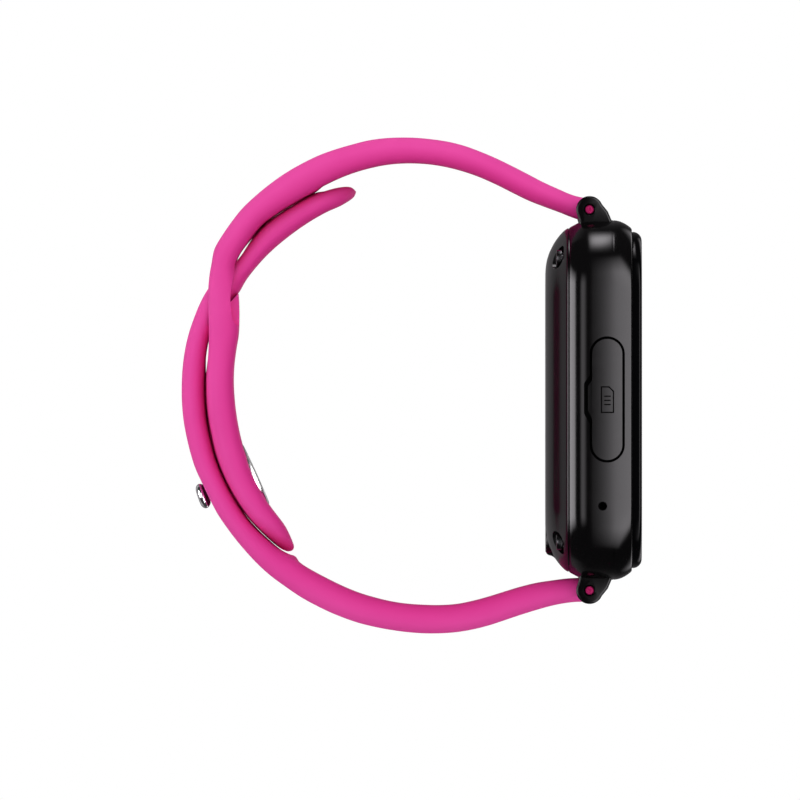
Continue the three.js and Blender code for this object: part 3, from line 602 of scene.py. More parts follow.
def silicone():
    m, nt, b = new_mat("pink_silicone")
    f = noise(nt, 90, 3)
    col = ramp(nt, f, [(0.3, (0.835, 0.066, 0.366)), (0.7, (0.875, 0.080, 0.400))])
    # painted shade: faces turned in towards the middle of the loop are mixed towards a deeper pink, standing in for the
    # shade inside the band
    geo = node(nt, "ShaderNodeNewGeometry")
    flat = node(nt, "ShaderNodeVectorMath", operation="MULTIPLY")
    flat.inputs[1].default_value = (1, 0, 1)
    nt.links.new(texcoord(nt), flat.inputs[0])
    nrm = node(nt, "ShaderNodeVectorMath", operation="NORMALIZE")
    nt.links.new(flat.outputs[0], nrm.inputs[0])
    dot = node(nt, "ShaderNodeVectorMath", operation="DOT_PRODUCT")
    nt.links.new(nrm.outputs[0], dot.inputs[0])
    nt.links.new(geo.outputs["Normal"], dot.inputs[1])
    painted_inner_shade = maprange(nt, dot.outputs["Value"], -0.9, 0.35, 1, 0)
    mix = node(nt, "ShaderNodeMix", data_type="RGBA")
    nt.links.new(painted_inner_shade, mix.inputs["Factor"])
    nt.links.new(col, mix.inputs["A"])
    mix.inputs["B"].default_value = (0.75, 0.034, 0.280, 1)
    nt.links.new(mix.outputs["Result"], b.inputs["Base Color"])
    r = maprange(nt, noise(nt, 700, 3), 0.3, 0.7, 0.46, 0.56)
    nt.links.new(r, b.inputs["Roughness"])
    b.inputs["Specular IOR Level"].default_value = 0.06
    fine = noise(nt, 9000, 2)
    bump(nt, b, fine, 0.08, 0.00003)
    return m


def gloss_black(name="gloss_black", rough=(0.12, 0.16)):
    m, nt, b = new_mat(name)
    f = noise(nt, 60, 3)
    nt.links.new(ramp(nt, f, [(0.3, (0.0022, 0.0021, 0.0023)), (0.7, (0.0034, 0.0031, 0.0034))]), b.inputs["Base Color"])
    nt.links.new(maprange(nt, noise(nt, 350, 4), 0.3, 0.7, *rough), b.inputs["Roughness"])
    b.inputs["Specular IOR Level"].default_value = 0.15
    bump(nt, b, noise(nt, 1500, 2), 0.02, 0.00001)
    return m


def satin_black():
    m, nt, b = new_mat("satin_black")
    f = noise(nt, 80, 3)
    nt.links.new(ramp(nt, f, [(0.3, (0.0026, 0.0025, 0.0027)), (0.7, (0.0040, 0.0037, 0.0040))]), b.inputs["Base Color"])
    nt.links.new(maprange(nt, noise(nt, 900, 3), 0.3, 0.7, 0.15, 0.20), b.inputs["Roughness"])
    b.inputs["Specular IOR Level"].default_value = 0.15
    bump(nt, b, noise(nt, 2500, 2), 0.02, 0.00001)
    return m


def metal(name, lo, hi, rough, ring=None):
    m, nt, b = new_mat(name)
    b.inputs["Metallic"].default_value = 1.0
    f = noise(nt, 120, 4)
    nt.links.new(ramp(nt, f, [(0.3, lo), (0.7, hi)]), b.inputs["Base Color"])
    nt.links.new(maprange(nt, noise(nt, 800, 4), 0.3, 0.7, *rough), b.inputs["Roughness"])
    bump(nt, b, noise(nt, 2500, 3), 0.06, 0.00002)
    return m


def glass_black():
    m, nt, b = new_mat("cover_glass_black")
    # black print under the glass, with a slightly lifted active area
    geo = node(nt, "ShaderNodeTexCoord")
    sep = node(nt, "ShaderNodeSeparateXYZ")
    nt.links.new(geo.outputs["Object"], sep.inputs[0])

    def absdist(sock, half, soft):
        a = node(nt, "ShaderNodeMath", operation="ABSOLUTE")
        nt.links.new(sock, a.inputs[0])
        return maprange(nt, a.outputs[0], half - soft, half + soft, 1, 0)

    y = absdist(sep.outputs["Y"], 0.0152, 0.00006)
    z = absdist(sep.outputs["Z"], 0.0188, 0.00006)
    mul = node(nt, "ShaderNodeMath", operation="MULTIPLY")
    nt.links.new(y, mul.inputs[0])
    nt.links.new(z, mul.inputs[1])
    col = ramp(nt, mul.outputs[0], [(0.0, (0.0022, 0.0022, 0.0026)), (1.0, (0.0062, 0.0064, 0.0085))])
    nt.links.new(col, b.inputs["Base Color"])
    nt.links.new(maprange(nt, noise(nt, 500, 3), 0.3, 0.7, 0.03, 0.055), b.inputs["Roughness"])
    b.inputs["Specular IOR Level"].default_value = 0.06
    return m


def lens_dark():
    m, nt, b = new_mat("sensor_lens")
    # two small light guides and a photodiode area seen dimly through the dark window
    geo = node(nt, "ShaderNodeTexCoord")
    mapn = node(nt, "ShaderNodeMapping")
    mapn.inputs["Location"].default_value = (0, 0, -0.0015)
    nt.links.new(geo.outputs["Object"], mapn.inputs["Vector"])
    sep = node(nt, "ShaderNodeSeparateXYZ")
    nt.links.new(mapn.outputs[0], sep.inputs[0])

    def disc(y, z, r):
        dy = node(nt, "ShaderNodeMath", operation="SUBTRACT")
        nt.links.new(sep.outputs["Y"], dy.inputs[0])
        dy.inputs[1].default_value = y
        dz = node(nt, "ShaderNodeMath", operation="SUBTRACT")
        nt.links.new(sep.outputs["Z"], dz.inputs[0])
        dz.inputs[1].default_value = z
        com = node(nt, "ShaderNodeCombineXYZ")
        nt.links.new(dy.outputs[0], com.inputs[0])
        nt.links.new(dz.outputs[0], com.inputs[1])
        ln = node(nt, "ShaderNodeVectorMath", operation="LENGTH")
        nt.links.new(com.outputs[0], ln.inputs[0])
        return maprange(nt, ln.outputs["Value"], r - 0.00008, r + 0.00008, 1, 0)

    add = None
    for y, z, r in ((0.0030, 0.0, 0.0009), (-0.0030, 0.0, 0.0009), (0, 0.0, 0.0013)):
        d = disc(y, z, r)
        if add is None:
            add = d
        else:
            a = node(nt, "ShaderNodeMath", operation="MAXIMUM")
            nt.links.new(add, a.inputs[0])
            nt.links.new(d, a.inputs[1])
            add = a.outputs[0]
    nt.links.new(ramp(nt, add, [(0, (0.004, 0.004, 0.005)), (1, (0.035, 0.045, 0.040))]), b.inputs["Base Color"])
    nt.links.new(maprange(nt, noise(nt, 400, 3), 0.3, 0.7, 0.03, 0.06), b.inputs["Roughness"])
    return m


def rubber_black():
    m, nt, b = new_mat("seal_rubber")
    nt.links.new(ramp(nt, noise(nt, 200, 3), [(0.3, (0.012, 0.012, 0.012)), (0.7, (0.022, 0.022, 0.022))]), b.inputs["Base Color"])
    nt.links.new(maprange(nt, noise(nt, 1500, 3), 0.3, 0.7, 0.6, 0.75), b.inputs["Roughness"])
    bump(nt, b, noise(nt, 5000, 2), 0.2, 0.00003)
    return m


def board_green():
    m, nt, b = new_mat("board_green")
    v = node(nt, "ShaderNodeTexVoronoi")
    v.inputs["Scale"].default_value = 900
    nt.links.new(texcoord(nt), v.inputs["Vector"])
    nt.links.new(ramp(nt, v.outputs["Distance"], [(0.1, (0.02, 0.13, 0.06)), (0.6, (0.012, 0.08, 0.035))]), b.inputs["Base Color"])
    nt.links.new(maprange(nt, noise(nt, 900, 3), 0.3, 0.7, 0.35, 0.5), b.inputs["Roughness"])
    bump(nt, b, v.outputs["Distance"], 0.2, 0.00005)
    return m


def plain(name, lo, hi, rough, metallic=0.0, scale=200, spec=0.5):
    m, nt, b = new_mat(name)
    b.inputs["Specular IOR Level"].default_value = spec
    b.inputs["Metallic"].default_value = metallic
    nt.links.new(ramp(nt, noise(nt, scale, 3), [(0.3, lo), (0.7, hi)]), b.inputs["Base Color"])
    nt.links.new(maprange(nt, noise(nt, scale * 5, 3), 0.3, 0.7, *rough), b.inputs["Roughness"])
    bump(nt, b, noise(nt, scale * 12, 2), 0.08, 0.00002)
    return m


MATS = {
    "silicone": silicone(), "case_gloss": gloss_black(), "case_satin": satin_black(), "glass_black": glass_black(),
    # mark: matt black for the card print and the microphone part, and painted shade in the card pocket and the
    # microphone port
    "lens_dark": lens_dark(), "mark": plain("matt_black_print_and_painted_shade", (0.0010, 0.0010, 0.0010), (0.0018, 0.0018, 0.0018), (0.75, 0.85), spec=0.02),
    "screw_black": metal("screw_black", (0.045, 0.045, 0.048), (0.065, 0.064, 0.066), (0.22, 0.32)), "display": plain("display_off", (0.006, 0.006, 0.008), (0.009, 0.009, 0.012), (0.1, 0.16)),
    "steel": metal("steel", (0.52, 0.53, 0.55), (0.62, 0.63, 0.64), (0.20, 0.30)),
    "chrome": metal("chrome", (0.80, 0.80, 0.81), (0.86, 0.86, 0.87), (0.05, 0.09)),
    "bright_steel": metal("bright_steel", (0.74, 0.75, 0.75), (0.82, 0.82, 0.82), (0.16, 0.24)),
    # painted shade: a darker steel for the stud disc's shaded lip
    "steel_lip_painted_shade": metal("steel_lip_painted_shade", (0.20, 0.21, 0.20), (0.27, 0.28, 0.27), (0.26, 0.36)),
    # painted shade: a dark steel for the shaded neck under the stud head
    "neck_painted_shade": metal("neck_painted_shade", (0.10, 0.09, 0.09), (0.15, 0.13, 0.13), (0.30, 0.40)),
    "gold": metal("gold", (0.76, 0.52, 0.20), (0.84, 0.60, 0.26), (0.18, 0.28)),
    "seal_rubber": rubber_black(), "board": board_green(),
    "module": plain("module_grey", (0.07, 0.075, 0.08), (0.10, 0.105, 0.11), (0.4, 0.55)),
    "bar_tip": plain("bar_end_pink", (0.40, 0.006, 0.10), (0.44, 0.009, 0.115), (0.50, 0.60), spec=0.15),
}


def paint(ob, slot):
    ob.data.materials.clear()
    ob.data.materials.append(MATS[slot])
    return ob


for ob in (strap_a, strap_pin, strap_low):
    paint(ob, "silicone")


# ------------------------------------------------------------------ case body shapes
Z_PROFILE = catmull([(23.72, 23.0), (23.86, 23.12), (24.2, 23.3), (24.6, 23.52), (25.1, 23.75), (25.7, 23.94), (26.5, 24.03),
                     (27.5, 24.05), (29.0, 24.05), (29.8, 24.02), (30.5, 23.87), (31.22, 23.53), (31.7, 23.2),
                     (31.95, 22.98), (32.04, 22.84)], 0.04)


def frame_hz(x):
    return float(np.interp(x, Z_PROFILE[:, 0], Z_PROFILE[:, 1]))


def frame_hy(x):
    if x < 26.5:
        return 20 - (3.7 - math.sqrt(max(0.0, 3.7 ** 2 - (26.5 - x) ** 2)))
    inset = 0.021 * (x - 26.5) ** 2
    if x > 31.9:
        t = min(1.0, (x - 31.9) / 0.15)
        inset += 0.15 * (1 - math.sqrt(max(0.0, 1 - t * t)))
    return 20 - inset


def frame_r(x):
    return 9.5 - 0.5 * ((24.05 - frame_hz(x)) + (20 - frame_hy(x)))


RING = dict(n_arc=22, n_y=14, n_z=16)


def ring(x, hy, hz, r, cy=0.0, cz=0.0, **kw):
    return [(x, y + cy, z + cz) for y, z in round_rect(hy, hz, r, **(kw or RING))]


def case_body():
    xs = [23.72, 23.76, 23.82, 23.9, 24.0, 24.12, 24.26, 24.42, 24.6, 24.8, 25.02, 25.26, 25.52, 25.8, 26.1, 26.4, 26.8,
          27.3, 27.9, 28.5, 29.1, 29.6, 30.0, 30.3, 30.55, 30.8, 31.0, 31.2, 31.4, 31.55, 31.68, 31.78, 31.87, 31.94,
          32.0, 32.04]
    rings = [ring(x, frame_hy(x), frame_hz(x), frame_r(x)) for x in xs]
    rings = [ring(23.72, frame_hy(23.72) - 0.12, frame_hz(23.72) - 0.12, frame_r(23.72) - 0.1)] + rings
    rings += [ring(32.05, frame_hy(32.04) - 0.04, frame_hz(32.04) - 0.05, frame_r(32.04)),
              ring(32.05, frame_hy(32.04) - 0.3, frame_hz(32.04) - 0.3, frame_r(32.04) - 0.2)]
    return loft("case_body", rings)


BACK_STATIONS = [(20.57, 10.6, 16.5, 4.6), (20.57, 11.2, 17.0, 4.9), (20.60, 11.8, 17.55, 5.1), (20.67, 12.4, 18.15, 5.4),
                 (20.78, 13.0, 18.75, 5.7), (20.94, 13.6, 19.3, 6.0), (21.14, 14.15, 19.85, 6.3), (21.38, 14.68, 20.35, 6.6),
                 (21.63, 15.13, 20.85, 6.9), (21.92, 15.6, 21.32, 7.2), (22.23, 16.1, 21.75, 7.45), (22.52, 16.62, 22.12, 7.7),
                 (22.82, 17.2, 22.45, 7.9), (23.0, 17.56, 22.62, 8.0), (23.2, 17.95, 22.78, 8.1), (23.4, 18.33, 22.9, 8.2),
                 (23.5, 18.46, 22.95, 8.2), (23.57, 18.49, 22.95, 8.2), (23.6, 18.42, 22.9, 8.15), (23.6, 18.1, 22.8, 8.0),
                 (23.71, 18.1, 22.8, 8.0), (23.71, 17.8, 22.4, 7.8)]


def back_body():
    return loft("back_body", [ring(*s) for s in BACK_STATIONS])


def corner_tree(ob):
    """Surface lookup with the smooth normals of an uncut body."""
    from mathutils.bvhtree import BVHTree
    me = ob.data
    me.calc_loop_triangles()
    co = [v.co.copy() for v in me.vertices]
    tris = [tuple(t.vertices) for t in me.loop_triangles]
    norms = [[Vector(me.corner_normals[l].vector) for l in t.loops] for t in me.loop_triangles]
    return BVHTree.FromPolygons(co, tris), co, tris, norms


def borrow_normals(ob, refs, reach=0.00002, agree=0.94):
    """Keeps the smooth shading of the uncut bodies on every face of ob that still lies on one of them."""
    from mathutils.interpolate import poly_3d_calc
    me = ob.data
    base = [Vector(c.vector) for c in me.corner_normals]
    out = list(base)
    for poly in me.polygons:
        for tree, co, tris, norms in refs:
            hit, nrm, idx, dist = tree.find_nearest(poly.center)
            if idx is None:
                continue
            if dist > reach * 3 or nrm.dot(poly.normal) < agree:
                continue
            for li in poly.loop_indices:
                v = me.vertices[me.loops[li].vertex_index].co
                h2, n2, i2, d2 = tree.find_nearest(v)
                if i2 is None or d2 > reach:
                    continue
                if n2.dot(poly.normal) < 0.8:
                    continue
                w = poly_3d_calc([co[k] for k in tris[i2]], h2)
                n = sum((norms[i2][k] * w[k] for k in range(3)), Vector((0, 0, 0)))
                if n.length > 0.1:
                    out[li] = n.normalized()
            break
    me.normals_split_custom_set([tuple(n) for n in out])
    me.update()


# ------------------------------------------------------------------ middle frame
case = case_body()
shade(case, 40)
case_ref = corner_tree(case)
solid_case = case.copy()
solid_case.data = case.data.copy()
bpy.context.scene.collection.objects.link(solid_case)

cav = loft("cav", [ring(22.5, 18.2 - 0.9, 21.9, 7.0), ring(24.3, 17.6, 22.0, 7.2), ring(25.5, 18.2, 22.15, 7.6), ring(30.6, 18.2, 22.15, 7.6)])
cut(case, cav)
cut(case, loft("cav2", [ring(30.0, 16.8, 20.7, 6.5), ring(33.0, 16.8, 20.7, 6.5)]))


def ear_outline(sign):
    pts = [(29.9, 22.9), (29.39, 23.93), (28.85, 25.2)]
    for a in range(24, 206, 6):
        pts.append((LUG_X + 1.8 * math.cos(math.radians(a)), LUG_Z + 1.8 * math.sin(math.radians(a))))
    pts += [(24.98, 24.0), (25.06, 23.5), (25.3, 22.7)]
    return [(x, sign * z) for x, z in pts]


for sz in (1, -1):
    cut(case, turned("scoop", [(0, -10.2), (2.25, -10.2), (2.25, 10.2), (0, 10.2)], (LUG_X, 0, sz * LUG_Z), (0, 1, 0), 48))
    cut(case, extrude_outline("exit", [(x, -10.2, sz * z) for x, z in
                                       [(21, 23.1), (24.4, 23.25), (26.4, 23.21), (26.4, 27), (21, 27)]], (0, 20.4, 0)))
    for sy in (1, -1):
        y0 = 10.2 if sy > 0 else -12.4
        ear = extrude_outline("ear", [(x, y0, z) for x, z in ear_outline(sz)], (0, 2.2, 0))
        bevel_edges(ear, 0.3, 4, 50)
        shade(ear, 30)
        cut(case, ear, "UNION")
        cut(case, turned("pin_hole", [(0, y0 - 0.3), (1.08, y0 - 0.3), (0.78, y0 + 0.02), (0.66, y0 + 0.14),
                                      (0.66, y0 + 2.06), (0.78, y0 + 2.18), (1.08, y0 + 2.5), (0, y0 + 2.5)],
                         (LUG_X, 0, sz * LUG_Z), (0, 1, 0), 40))

CARD_X, CARD_Z, CARD_W, CARD_L = 28.72, 0.07, 4.6, 16.75


def card_outline(grow, n=20):
    r = CARD_W / 2 + grow
    h = CARD_L / 2 - CARD_W / 2
    pts = [(CARD_X + r * math.cos(math.pi * i / n), CARD_Z + h + r * math.sin(math.pi * i / n)) for i in range(n + 1)]
    left = CARD_X - CARD_W / 2
    if grow > 0:
        pts += [(left - grow, 3.2 + grow), (25.70, 2.36), (25.62, 2.18), (25.62, -1.78), (25.70, -1.96), (left - grow, -3.1 - grow)]
    else:
        pts += [(left - grow, 2.95 + grow), (26.24, 2.3 + grow), (26.14, 2.1 + grow), (26.14, -1.7 - grow), (26.24, -1.9 - grow), (left - grow, -2.85 - grow)]
    pts += [(CARD_X + r * math.cos(math.pi + math.pi * i / n), CARD_Z - h + r * math.sin(math.pi + math.pi * i / n)) for i in range(n + 1)]
    return pts


cut(case, extrude_outline("pocket", [(x, -21, z) for x, z in card_outline(0.05)], (0, 2.1, 0)))
cut(case, extrude_outline("tray_slot", [(x, -19.5, z) for x, z in [(27.47, -7.03), (29.97, -7.03), (29.97, 7.17), (27.47, 7.17)]], (0, 2.3, 0)))
# microphone hole with a lead-in
cut(case, turned("mic", [(0, -21), (1.66, -21), (0.60, -19.94), (0.49, -19.8), (0.49, -17.3), (0, -17.3)], (28.14, 0, -14.16), (0, 1, 0), 40))


def pill_outline(w, l, cx, cz, n=18):
    pts = []
    for i in range(n + 1):
        a = math.pi * i / n
        pts.append((cx + w / 2 * math.cos(a), cz + (l - w) / 2 + w / 2 * math.sin(a)))
    for i in range(n + 1):
        a = math.pi + math.pi * i / n
        pts.append((cx + w / 2 * math.cos(a), cz - (l - w) / 2 + w / 2 * math.sin(a)))
    return pts


cut(case, extrude_outline("button_hole", [(x, 17.0, z) for x, z in pill_outline(2.66, 9.36, 28.4, 6.0)], (0, 4.5, 0)))
for k in (-1, 0, 1):
    cut(case, turned("spk", [(0, 17.5), (0.45, 17.5), (0.45, 19.80), (0.52, 19.9), (1.6, 21), (0, 21)], (28.4, 0, -10 + 2.2 * k), (0, 1, 0), 28))

# fine line round each end of the frame, near the front
for sz in (1, -1):
    xg = 29.62
    perim = [(y, z) for y, z in round_rect(frame_hy(xg), frame_hz(xg), frame_r(xg), n_arc=40, n_y=30, n_z=30)]
    if sz > 0:
        sel = [(y, z) for y, z in perim if z > 19.7]
    else:
        sel = [(y, z) for y, z in perim if z < -19.7]
    sel.sort(key=lambda p: math.atan2(p[0], sz * p[1] - 16))
    rings_g = []
    for q, (y, z) in enumerate(sel):
        a = np.array(sel[max(0, q - 1)])
        b = np.array(sel[min(len(sel) - 1, q + 1)])
        tdir = (b - a) / np.linalg.norm(b - a)
        nrm = np.array([-tdir[1], tdir[0]])
        if nrm @ (np.array([y, z]) - np.array([0, sz * 14.0])) < 0:
            nrm = -nrm
        rings_g.append([(xg + dx, y + nrm[0] * s, z + nrm[1] * s) for dx, s in ((-0.08, 0.8), (0.08, 0.8), (0.045, -0.12), (-0.045, -0.12))])
    cut(case, loft("end_line", rings_g))

clean(case, 0.000002)
case.name = "case_frame_skin"
shade(case, 32)
borrow_normals(case, [case_ref])
paint(case, "case_gloss")
# painted shade: the floor of the card pocket and the microphone port are given matt black, standing in for the shade
# down in these recesses
case.data.materials.append(MATS["mark"])
for poly in case.data.polygons:
    c = poly.center * 1000
    in_pocket = -19.1 < c.y < -18.7 and abs(c.z) < 9.4 and 25.2 < c.x < 31.4
    in_port = math.hypot(c.x - 28.14, c.z + 14.16) < 0.6 and -19.7 < c.y < -16
    if in_pocket or in_port:
        poly.material_index = 1
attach(case, "case")
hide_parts("mid_frame_housing")

# ------------------------------------------------------------------ back cover
back = back_body()
shade(back, 40)
back_ref = corner_tree(back)
isl = extrude_outline("island", [(20.57, y, z - 17.45) for y, z in round_rect(6.5, 3.1, 1.5, n_arc=10, n_y=1, n_z=1)], (2.4, 0, 0))
bevel_edges(isl, 0.3, 4, 50)
shade(isl, 30)
cut(back, isl, "UNION")
foot = extrude_outline("foot", [(x, -5.2, z) for x, z in [(20.66, -20.3), (20.74, -20.62), (21.0, -20.78), (21.35, -20.86), (21.6, -21.0),
                                                         (22.1, -21.45), (22.6, -21.2), (22.6, -19.6), (20.66, -19.6)]], (0, 10.4, 0))
shade(foot, 30)
cut(back, foot, "UNION")
cut(back, loft("h1", [ring(21.9, 13.5, 16.5, 5), ring(25, 13.5, 16.5, 5)]))
SCREWS = [(-14.2, 18.95), (14.2, 18.95), (-14.2, -18.95), (14.2, -18.95)]
# the inside is hollow except for a pillar at each screw
h2 = loft("h2", [ring(23.1, 17.0, 21.0, 7.0), ring(25, 17.0, 21.0, 7.0)])
for y, z in SCREWS:
    cut(h2, turned("boss", [(0, 22.5), (2.1, 22.5), (2.1, 25.5), (0, 25.5)], (0, y, z), (1, 0, 0), 32))
cut(back, h2)
for y, z in SCREWS:
    cut(back, turned("pkt", [(0, 15.3), (1.55, 15.3), (1.55, 22.85), (1.45, 22.95), (0, 22.95)],
                     (0, y + math.copysign(0.25, y), z + math.copysign(0.1, z)), (1, 0, 0), 48))
    cut(back, turned("shank", [(0, 22), (0.75, 22), (0.75, 26), (0, 26)], (0, y, z), (1, 0, 0), 32))
cut(back, turned("win", [(0, 15), (11, 15), (7.22, 20.57), (7.12, 20.68), (7.12, 26), (0, 26)], (0, 0, 1.5), (1, 0, 0), 96))
for y in (-2.5, 2.5):
    cut(back, turned("ct", [(0, 20.2), (1.55, 20.2), (1.25, 20.5), (1.16, 20.68), (1.16, 26), (0, 26)], (0, y, -17.4), (1, 0, 0), 40))
clean(back, 0.000002)
back.name = "back_cover_skin"
shade(back, 32)
borrow_normals(back, [back_ref])
paint(back, "case_gloss")
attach(back, "case")
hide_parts("back_cover")

# ------------------------------------------------------------------ cover glass
gl = [(32.10, 18.44, 22.38, 7.7), (32.13, 18.5, 22.46, 7.75)]
for k in range(17):
    g = math.radians(90 * k / 16)
    x = 32.17 + 1.2 * math.sin(g)
    t = max(0.0, (x - 32.97) / 0.4)
    gl.append((x, 18.46 + 0.05 * (x - 32.17) - 0.4 * (1 - math.sqrt(max(0.0, 1 - t * t))), 22.48 - 1.2 * (1 - math.cos(g)), 7.8 - 0.9 * (1 - math.cos(g))))
gl += [(33.37, 17.9, 21.18, 6.8), (33.37, 17.2, 20.6, 6.4)]
glass = loft("cover_glass_skin", [ring(x, hy, hz, r) for x, hy, hz, r in [(32.10, 17.6, 21.5, 7.0)] + gl])
shade(glass, 40)
paint(glass, "glass_black")
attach(glass, "case")
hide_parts("cover_glass")

# ------------------------------------------------------------------ card cover
cover = extrude_outline("sim_cover_skin", [(x, -21, z) for x, z in card_outline(-0.29, 24)], (0, 1.85, 0))
cut(cover, solid_case, "INTERSECT", keep=True)
cut(cover, extrude_outline("step", [(x, -21, z) for x, z in [(25.5, -2.0), (26.62, -2.0), (26.62, 2.3), (25.5, 2.3)]], (0, 1.5, 0)))
bevel_edges(cover, 0.07, 2, 45)
clean(cover, 0.000002)
shade(cover, 28)
borrow_normals(cover, [case_ref])
paint(cover, "case_satin")
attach(cover, "card_tray")
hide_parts("sim_cover")

# a small plain card pictogram inlaid in the cover: an outlined card with a cut corner and two contact bars
def stroke(points, w, closed=False):
    """Mesh strip in x, z of width w laid along the points, returned as quads."""
    quads = []
    n = len(points)
    for i in range(n if closed else n - 1):
        a = np.array(points[i], float)
        b = np.array(points[(i + 1) % n], float)
        d = (b - a) / np.linalg.norm(b - a)
        p = np.array([-d[1], d[0]]) * w / 2
        a = a - d * w / 2 * 0.98
        b = b + d * w / 2 * 0.98
        quads.append([a - p, b - p, b + p, a + p])
    return quads


mark_quads = stroke([(27.95, 1.75), (27.95, -1.65), (29.55, -1.65), (29.55, 1.15), (28.95, 1.75)], 0.17, True)
mark_quads += stroke([(28.4, 0.5), (29.1, 0.5)], 0.17) + stroke([(28.4, -0.05), (29.1, -0.05)], 0.17) + stroke([(28.4, -0.6), (29.1, -0.6)], 0.17)
mark = None
for q in mark_quads:
    y_face = -20 + 0.05
    prism = extrude_outline("sim_mark", [(x, -20.4, z) for x, z in q], (0, 0.9, 0))
    if mark is None:
        mark = prism
    else:
        cut(mark, prism, "UNION")
inner = solid_case.copy()
inner.data = solid_case.data.copy()
bpy.context.scene.collection.objects.link(inner)
for v in inner.data.vertices:
    if v.co.y < 0:
        v.co.y -= 0.00002
cut(mark, inner, "INTERSECT")
clean(mark, 0.000001)
mark.name = "card_pictogram"
paint(mark, "mark")
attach(mark, "card_tray")
bpy.data.objects.remove(solid_case, do_unlink=True)

# ------------------------------------------------------------------ button
btn = extrude_outline("power_button_skin", [(x, 18.3, z) for x, z in pill_outline(2.3, 9.0, 28.4, 6.0, 24)], (0, 2.5, 0))
bevel_edges(btn, 0.42, 6, 50)
shade(btn, 30)
paint(btn, "case_gloss")
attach(btn, "power_button")
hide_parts("power_button")

# ------------------------------------------------------------------ stud
post = turned("stud_post", [(0, -3.5), (0.5, -3.5), (0.5, -3.28), (0.72, -3.28), (0.9, -3.18), (0.9, 2.8), (1.1, 3.15), (0, 3.15)],
              tuple(STUD_C), tuple(u3), 56)
disc = turned("stud_base_skin", [(0, -0.38), (4.25, -0.38), (4.37, -0.33), (4.45, -0.22), (4.45, 0.14), (4.41, 0.25), (4.3, 0.33), (4.1, 0.38),
                                 (3.55, 0.40), (3.48, 0.35), (3.38, 0.35), (3.31, 0.41), (1.35, 0.44), (1.28, 0.38), (1.0, 0.36), (0, 0.36)],
              tuple(mid_disc), tuple(u_disc), 96)
cut(disc, post, "UNION")
clean(disc, 0.000002)
shade(disc, 24)
paint(disc, "bright_steel")
# painted shade: the outer lip of the disc is coloured darker than its polished rim, for the shade where it sits in the
# strap's seat
disc.data.materials.append(MATS["steel_lip_painted_shade"])
for poly in disc.data.polygons:
    d = poly.center * 1000 - mid_disc
    s_ax = d.dot(u_disc)
    r_ax = (d - u_disc * s_ax).length
    if s_ax > 0.16 and r_ax > 3.5:
        poly.material_index = 1
head = turned("stud_head_skin", [(0, -4.50), (0.55, -4.495), (0.95, -4.465), (1.22, -4.40), (1.43, -4.30), (1.58, -4.17), (1.67, -4.03), (1.71, -3.88),
                                 (1.70, -3.74), (1.66, -3.60), (1.58, -3.46), (1.46, -3.32), (1.33, -3.20), (1.20, -3.10), (0.92, -3.06), (0.92, -3.86), (0, -3.86)],
              tuple(STUD_C), tuple(u3), 72)
shade(head, 40)
paint(head, "chrome")
# painted shade: the neck under the head is coloured dark for the shade beneath the head
head.data.materials.append(MATS["neck_painted_shade"])
for poly in head.data.polygons:
    if (poly.center * 1000 - Vector(tuple(STUD_C))).dot(u3) > -3.64:
        poly.material_index = 1
for ob, nd, sl in ((disc, "stud_base", "steel"), (head, "stud_head", "chrome")):
    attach(ob, "pin_end")
    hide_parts(nd)

# ------------------------------------------------------------------ back details
window = turned("sensor_window_skin", [(0, 20.55), (3.0, 20.555), (5.8, 20.57), (6.72, 20.6), (6.9, 20.66), (7.0, 20.78), (7.0, 21.6), (0, 21.6)],
                (0, 0, 1.5), (1, 0, 0), 96)
shade(window, 40)
paint(window, "lens_dark")
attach(window, "case")
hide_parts("sensor_window")
for k, y in enumerate((-2.5, 2.5)):
    c = turned("charge_contact_skin_%d" % (k + 1), [(0, 20.66), (0.62, 20.65), (0.84, 20.68), (0.96, 20.76), (1.0, 20.88), (1.0, 22.6), (0, 22.6)],
               (0, y, -17.4), (1, 0, 0), 40)
    shade(c, 40)
    paint(c, "gold")
    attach(c, "case")
    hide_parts("charge_contact_%d" % (k + 1))
for k, (y, z) in enumerate(SCREWS):
    s = turned("back_screw_skin_%d" % (k + 1), [(0, 21.9), (0.75, 21.9), (0.95, 21.94), (1.06, 22.02), (1.1, 22.12), (1.1, 22.68), (0.52, 22.7), (0.5, 25.1), (0.35, 25.2), (0, 25.2)],
               (0, y, z), (1, 0, 0), 40)
    for hy, hz in ((0.68, 0.14), (0.14, 0.68)):
        cut(s, extrude_outline("x", [(21.0, y + a, z + b) for a, b in ((-hy, -hz), (hy, -hz), (hy, hz), (-hy, hz))], (1.25, 0, 0)))
    shade(s, 30)
    paint(s, "screw_black")
    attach(s, "case")
    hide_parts("back_screw_%d" % (k + 1))

for label, sz in (("top", 1), ("bottom", -1)):
    for side, sy in (("a", -1), ("b", 1)):
        y0, y1 = (6.2, 12.2) if sy > 0 else (-6.2, -12.2)
        d = 1 if y1 > y0 else -1
        tip = turned("bar_tip_%s_%s_skin" % (label, side), [(0, 0), (0.70, 0), (0.75, 0.05), (0.75, 1.5), (0.56, 1.6), (0.56, 5.86), (0.53, 5.95), (0.45, 6.0), (0.22, 6.0), (0.17, 5.93), (0, 5.9)],
                     (LUG_X, y0, sz * LUG_Z), (0, d, 0), 32)
        shade(tip, 40)
        paint(tip, "bar_tip")
        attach(tip, "bar_tip_%s_%s" % (label, side))
        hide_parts("bar_tip_%s_%s" % (label, side))

